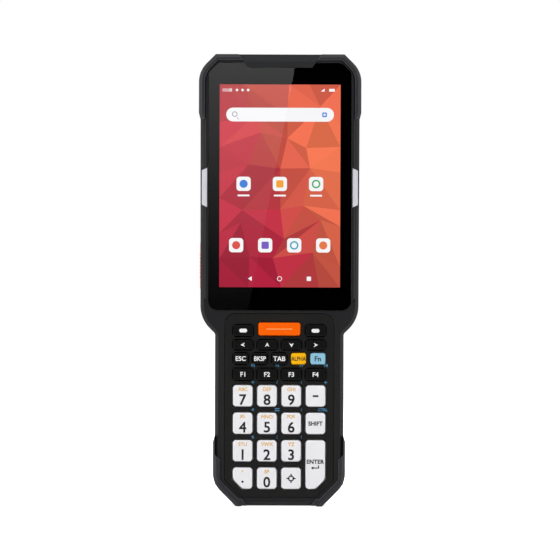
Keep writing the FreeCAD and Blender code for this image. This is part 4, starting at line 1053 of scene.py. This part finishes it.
# Each lamp's place, its size, and the setting that gives its power.
LAMPS = {
    "key_light": ((-0.75, -1.0, 0.95), (0.7, 0.7), "key"),
    "left_light": ((-1.0, -0.1, 0.25), (0.35, 0.9), "side"),
    "right_light": ((1.0, -0.1, 0.25), (0.35, 0.9), "side"),
    "back_light": ((0.2, 1.1, 0.8), (0.9, 0.7), "key"),
    "top_light": ((0.0, -0.3, 1.2), (0.8, 0.3), "top"),
}
LAMP_AIM = Vector((0, 0, 0.105))
DARK_WALL = [(-9.0, -4.0), (9.0, -4.0), (9.0, 7.0), (-9.0, 7.0)]
PALE_CARD = [(-0.40, 0.05), (-0.037, 0.05), (0.058, 0.55), (-0.40, 0.55)]


class TERMINAL_OT_stage(bpy.types.Operator):
    """Sets the floor, the lamps, the reflection cards and the camera"""

    bl_idname = "terminal.stage"
    bl_label = "Stage"

    def execute(self, context):
        stage = context.scene.terminal_stage
        self.world(context, stage)
        self.floor()
        self.lamps(context, stage)
        self.cards(stage)
        self.camera(context, stage)
        context.scene.view_settings.view_transform = "Standard"
        return {"FINISHED"}

    def world(self, context, stage):
        world = bpy.data.worlds.new("Studio")
        context.scene.world = world
        world.use_nodes = True
        tree = world.node_tree
        tree.nodes.clear()
        seen = seen_rays(tree)
        rest = maths(tree, "MULTIPLY", maths(tree, "SUBTRACT", 1.0, seen), stage.ambient)
        light = put(tree, "ShaderNodeBackground", {
            "Color": (1.0, 1.0, 1.0, 1.0), "Strength": maths(tree, "ADD", seen, rest),
        })
        put(tree, "ShaderNodeOutputWorld", {"Surface": light.outputs[0]})

    def floor(self):
        bm = bmesh.new()
        bmesh.ops.create_grid(bm, x_segments=1, y_segments=1, size=6.0)
        material, tree, shader = new_material("Pale Floor", (0.86, 0.86, 0.86))
        glow = maths(tree, "MULTIPLY", seen_rays(tree), 0.78)
        tree.links.new(glow, shader.inputs["Emission Strength"])
        shader.inputs["Emission Color"].default_value = (1.0, 1.0, 1.0, 1.0)
        shader.inputs["Roughness"].default_value = 0.9
        shader.inputs["Specular IOR Level"].default_value = 0.0
        stage_mesh("floor", bm, material)

    def lamps(self, context, stage):
        for name, (place, size, setting) in LAMPS.items():
            light = bpy.data.lights.new(name, "AREA")
            light.shape = "RECTANGLE"
            light.size, light.size_y = size
            light.energy = getattr(stage, setting)
            lamp = bpy.data.objects.new(name, light)
            context.scene.collection.objects.link(lamp)
            lamp.location = place
            aim = LAMP_AIM - Vector(place)
            lamp.rotation_euler = aim.to_track_quat("-Z", "Y").to_euler()

    def cards(self, stage):
        """A dark room wall behind the camera and a pale card that the glass mirrors."""
        dark, _, shader = new_material("Dark Wall", (0.004, 0.004, 0.004))
        shader.inputs["Roughness"].default_value = 1.0
        shader.inputs["Specular IOR Level"].default_value = 0.0
        self.card("dark_wall", DARK_WALL, -2.3, dark, True)
        pale, tree, shader = new_material("Pale Card", (0.0, 0.0, 0.0))
        shader.inputs["Emission Color"].default_value = (1.0, 1.0, 1.0, 1.0)
        place = put(tree, "ShaderNodeTexCoord").outputs["Object"]
        height = put(tree, "ShaderNodeSeparateXYZ", {0: place}).outputs[2]
        share = put(tree, "ShaderNodeMapRange", {0: height, 1: 0.05, 2: 0.33}).outputs[0]
        fading = maths(tree, "POWER", share, 1.8)
        glow = maths(tree, "MULTIPLY", fading, stage.mirrored)
        tree.links.new(glow, shader.inputs["Emission Strength"])
        self.card("pale_card", PALE_CARD, -2.2, pale)

    def card(self, name, corners, y, material, through=False):
        bm = bmesh.new()
        flat(bm, corners, y).normal_flip()
        card = stage_mesh(name, bm, material)
        card.visible_camera = False
        card.visible_diffuse = False
        card.visible_shadow = False
        card.visible_transmission = through

    def camera(self, context, stage):
        lens = bpy.data.cameras.new("camera")
        lens.sensor_width = 36.0
        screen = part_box("cover_glass")[0].y
        lens.lens = lens.sensor_width * (stage.distance + screen) / stage.view
        lens.clip_end = 50.0
        camera = bpy.data.objects.new("camera", lens)
        context.scene.collection.objects.link(camera)
        camera.location = (stage.across, -stage.distance, stage.height)
        camera.rotation_euler = (math.pi / 2, stage.roll, 0.0)
        context.scene.camera = camera


class TERMINAL_PT_sidebar(bpy.types.Panel):
    """Lists the terminal's pieces in the order in which they are made"""

    bl_idname = "TERMINAL_PT_sidebar"
    bl_label = "Data Terminal"
    bl_space_type = "VIEW_3D"
    bl_region_type = "UI"
    bl_category = "Terminal"

    def draw(self, context):
        column = self.layout.column(align=True)
        for operator in OPERATORS:
            column.operator(operator.bl_idname)
        for group in ("terminal_sizes", "terminal_colours", "terminal_stage"):
            box = self.layout.box()
            settings = getattr(context.scene, group)
            for word in settings.bl_rna.properties.keys():
                if word not in ("rna_type", "name"):
                    box.prop(settings, word)


OPERATORS = (
    TERMINAL_OT_finishes,
    TERMINAL_OT_casing,
    TERMINAL_OT_panel,
    TERMINAL_OT_number_keys,
    TERMINAL_OT_function_keys,
    TERMINAL_OT_colour_keys,
    TERMINAL_OT_screen,
    TERMINAL_OT_side_parts,
    TERMINAL_OT_back,
    TERMINAL_OT_inside,
    TERMINAL_OT_stage,
)
GROUPS = {
    "terminal_sizes": TerminalSizes,
    "terminal_colours": TerminalColours,
    "terminal_stage": StageSettings,
}


def register():
    for word, group in GROUPS.items():
        bpy.utils.register_class(group)
        setattr(bpy.types.Scene, word, bpy.props.PointerProperty(type=group))
    for item in (*OPERATORS, TERMINAL_PT_sidebar):
        bpy.utils.register_class(item)


def unregister():
    for item in (TERMINAL_PT_sidebar, *reversed(OPERATORS)):
        bpy.utils.unregister_class(item)
    for word, group in GROUPS.items():
        delattr(bpy.types.Scene, word)
        bpy.utils.unregister_class(group)


def main():
    register()
    for operator in OPERATORS:
        family, word = operator.bl_idname.split(".")
        getattr(getattr(bpy.ops, family), word)()


if __name__ == "__main__":
    main()
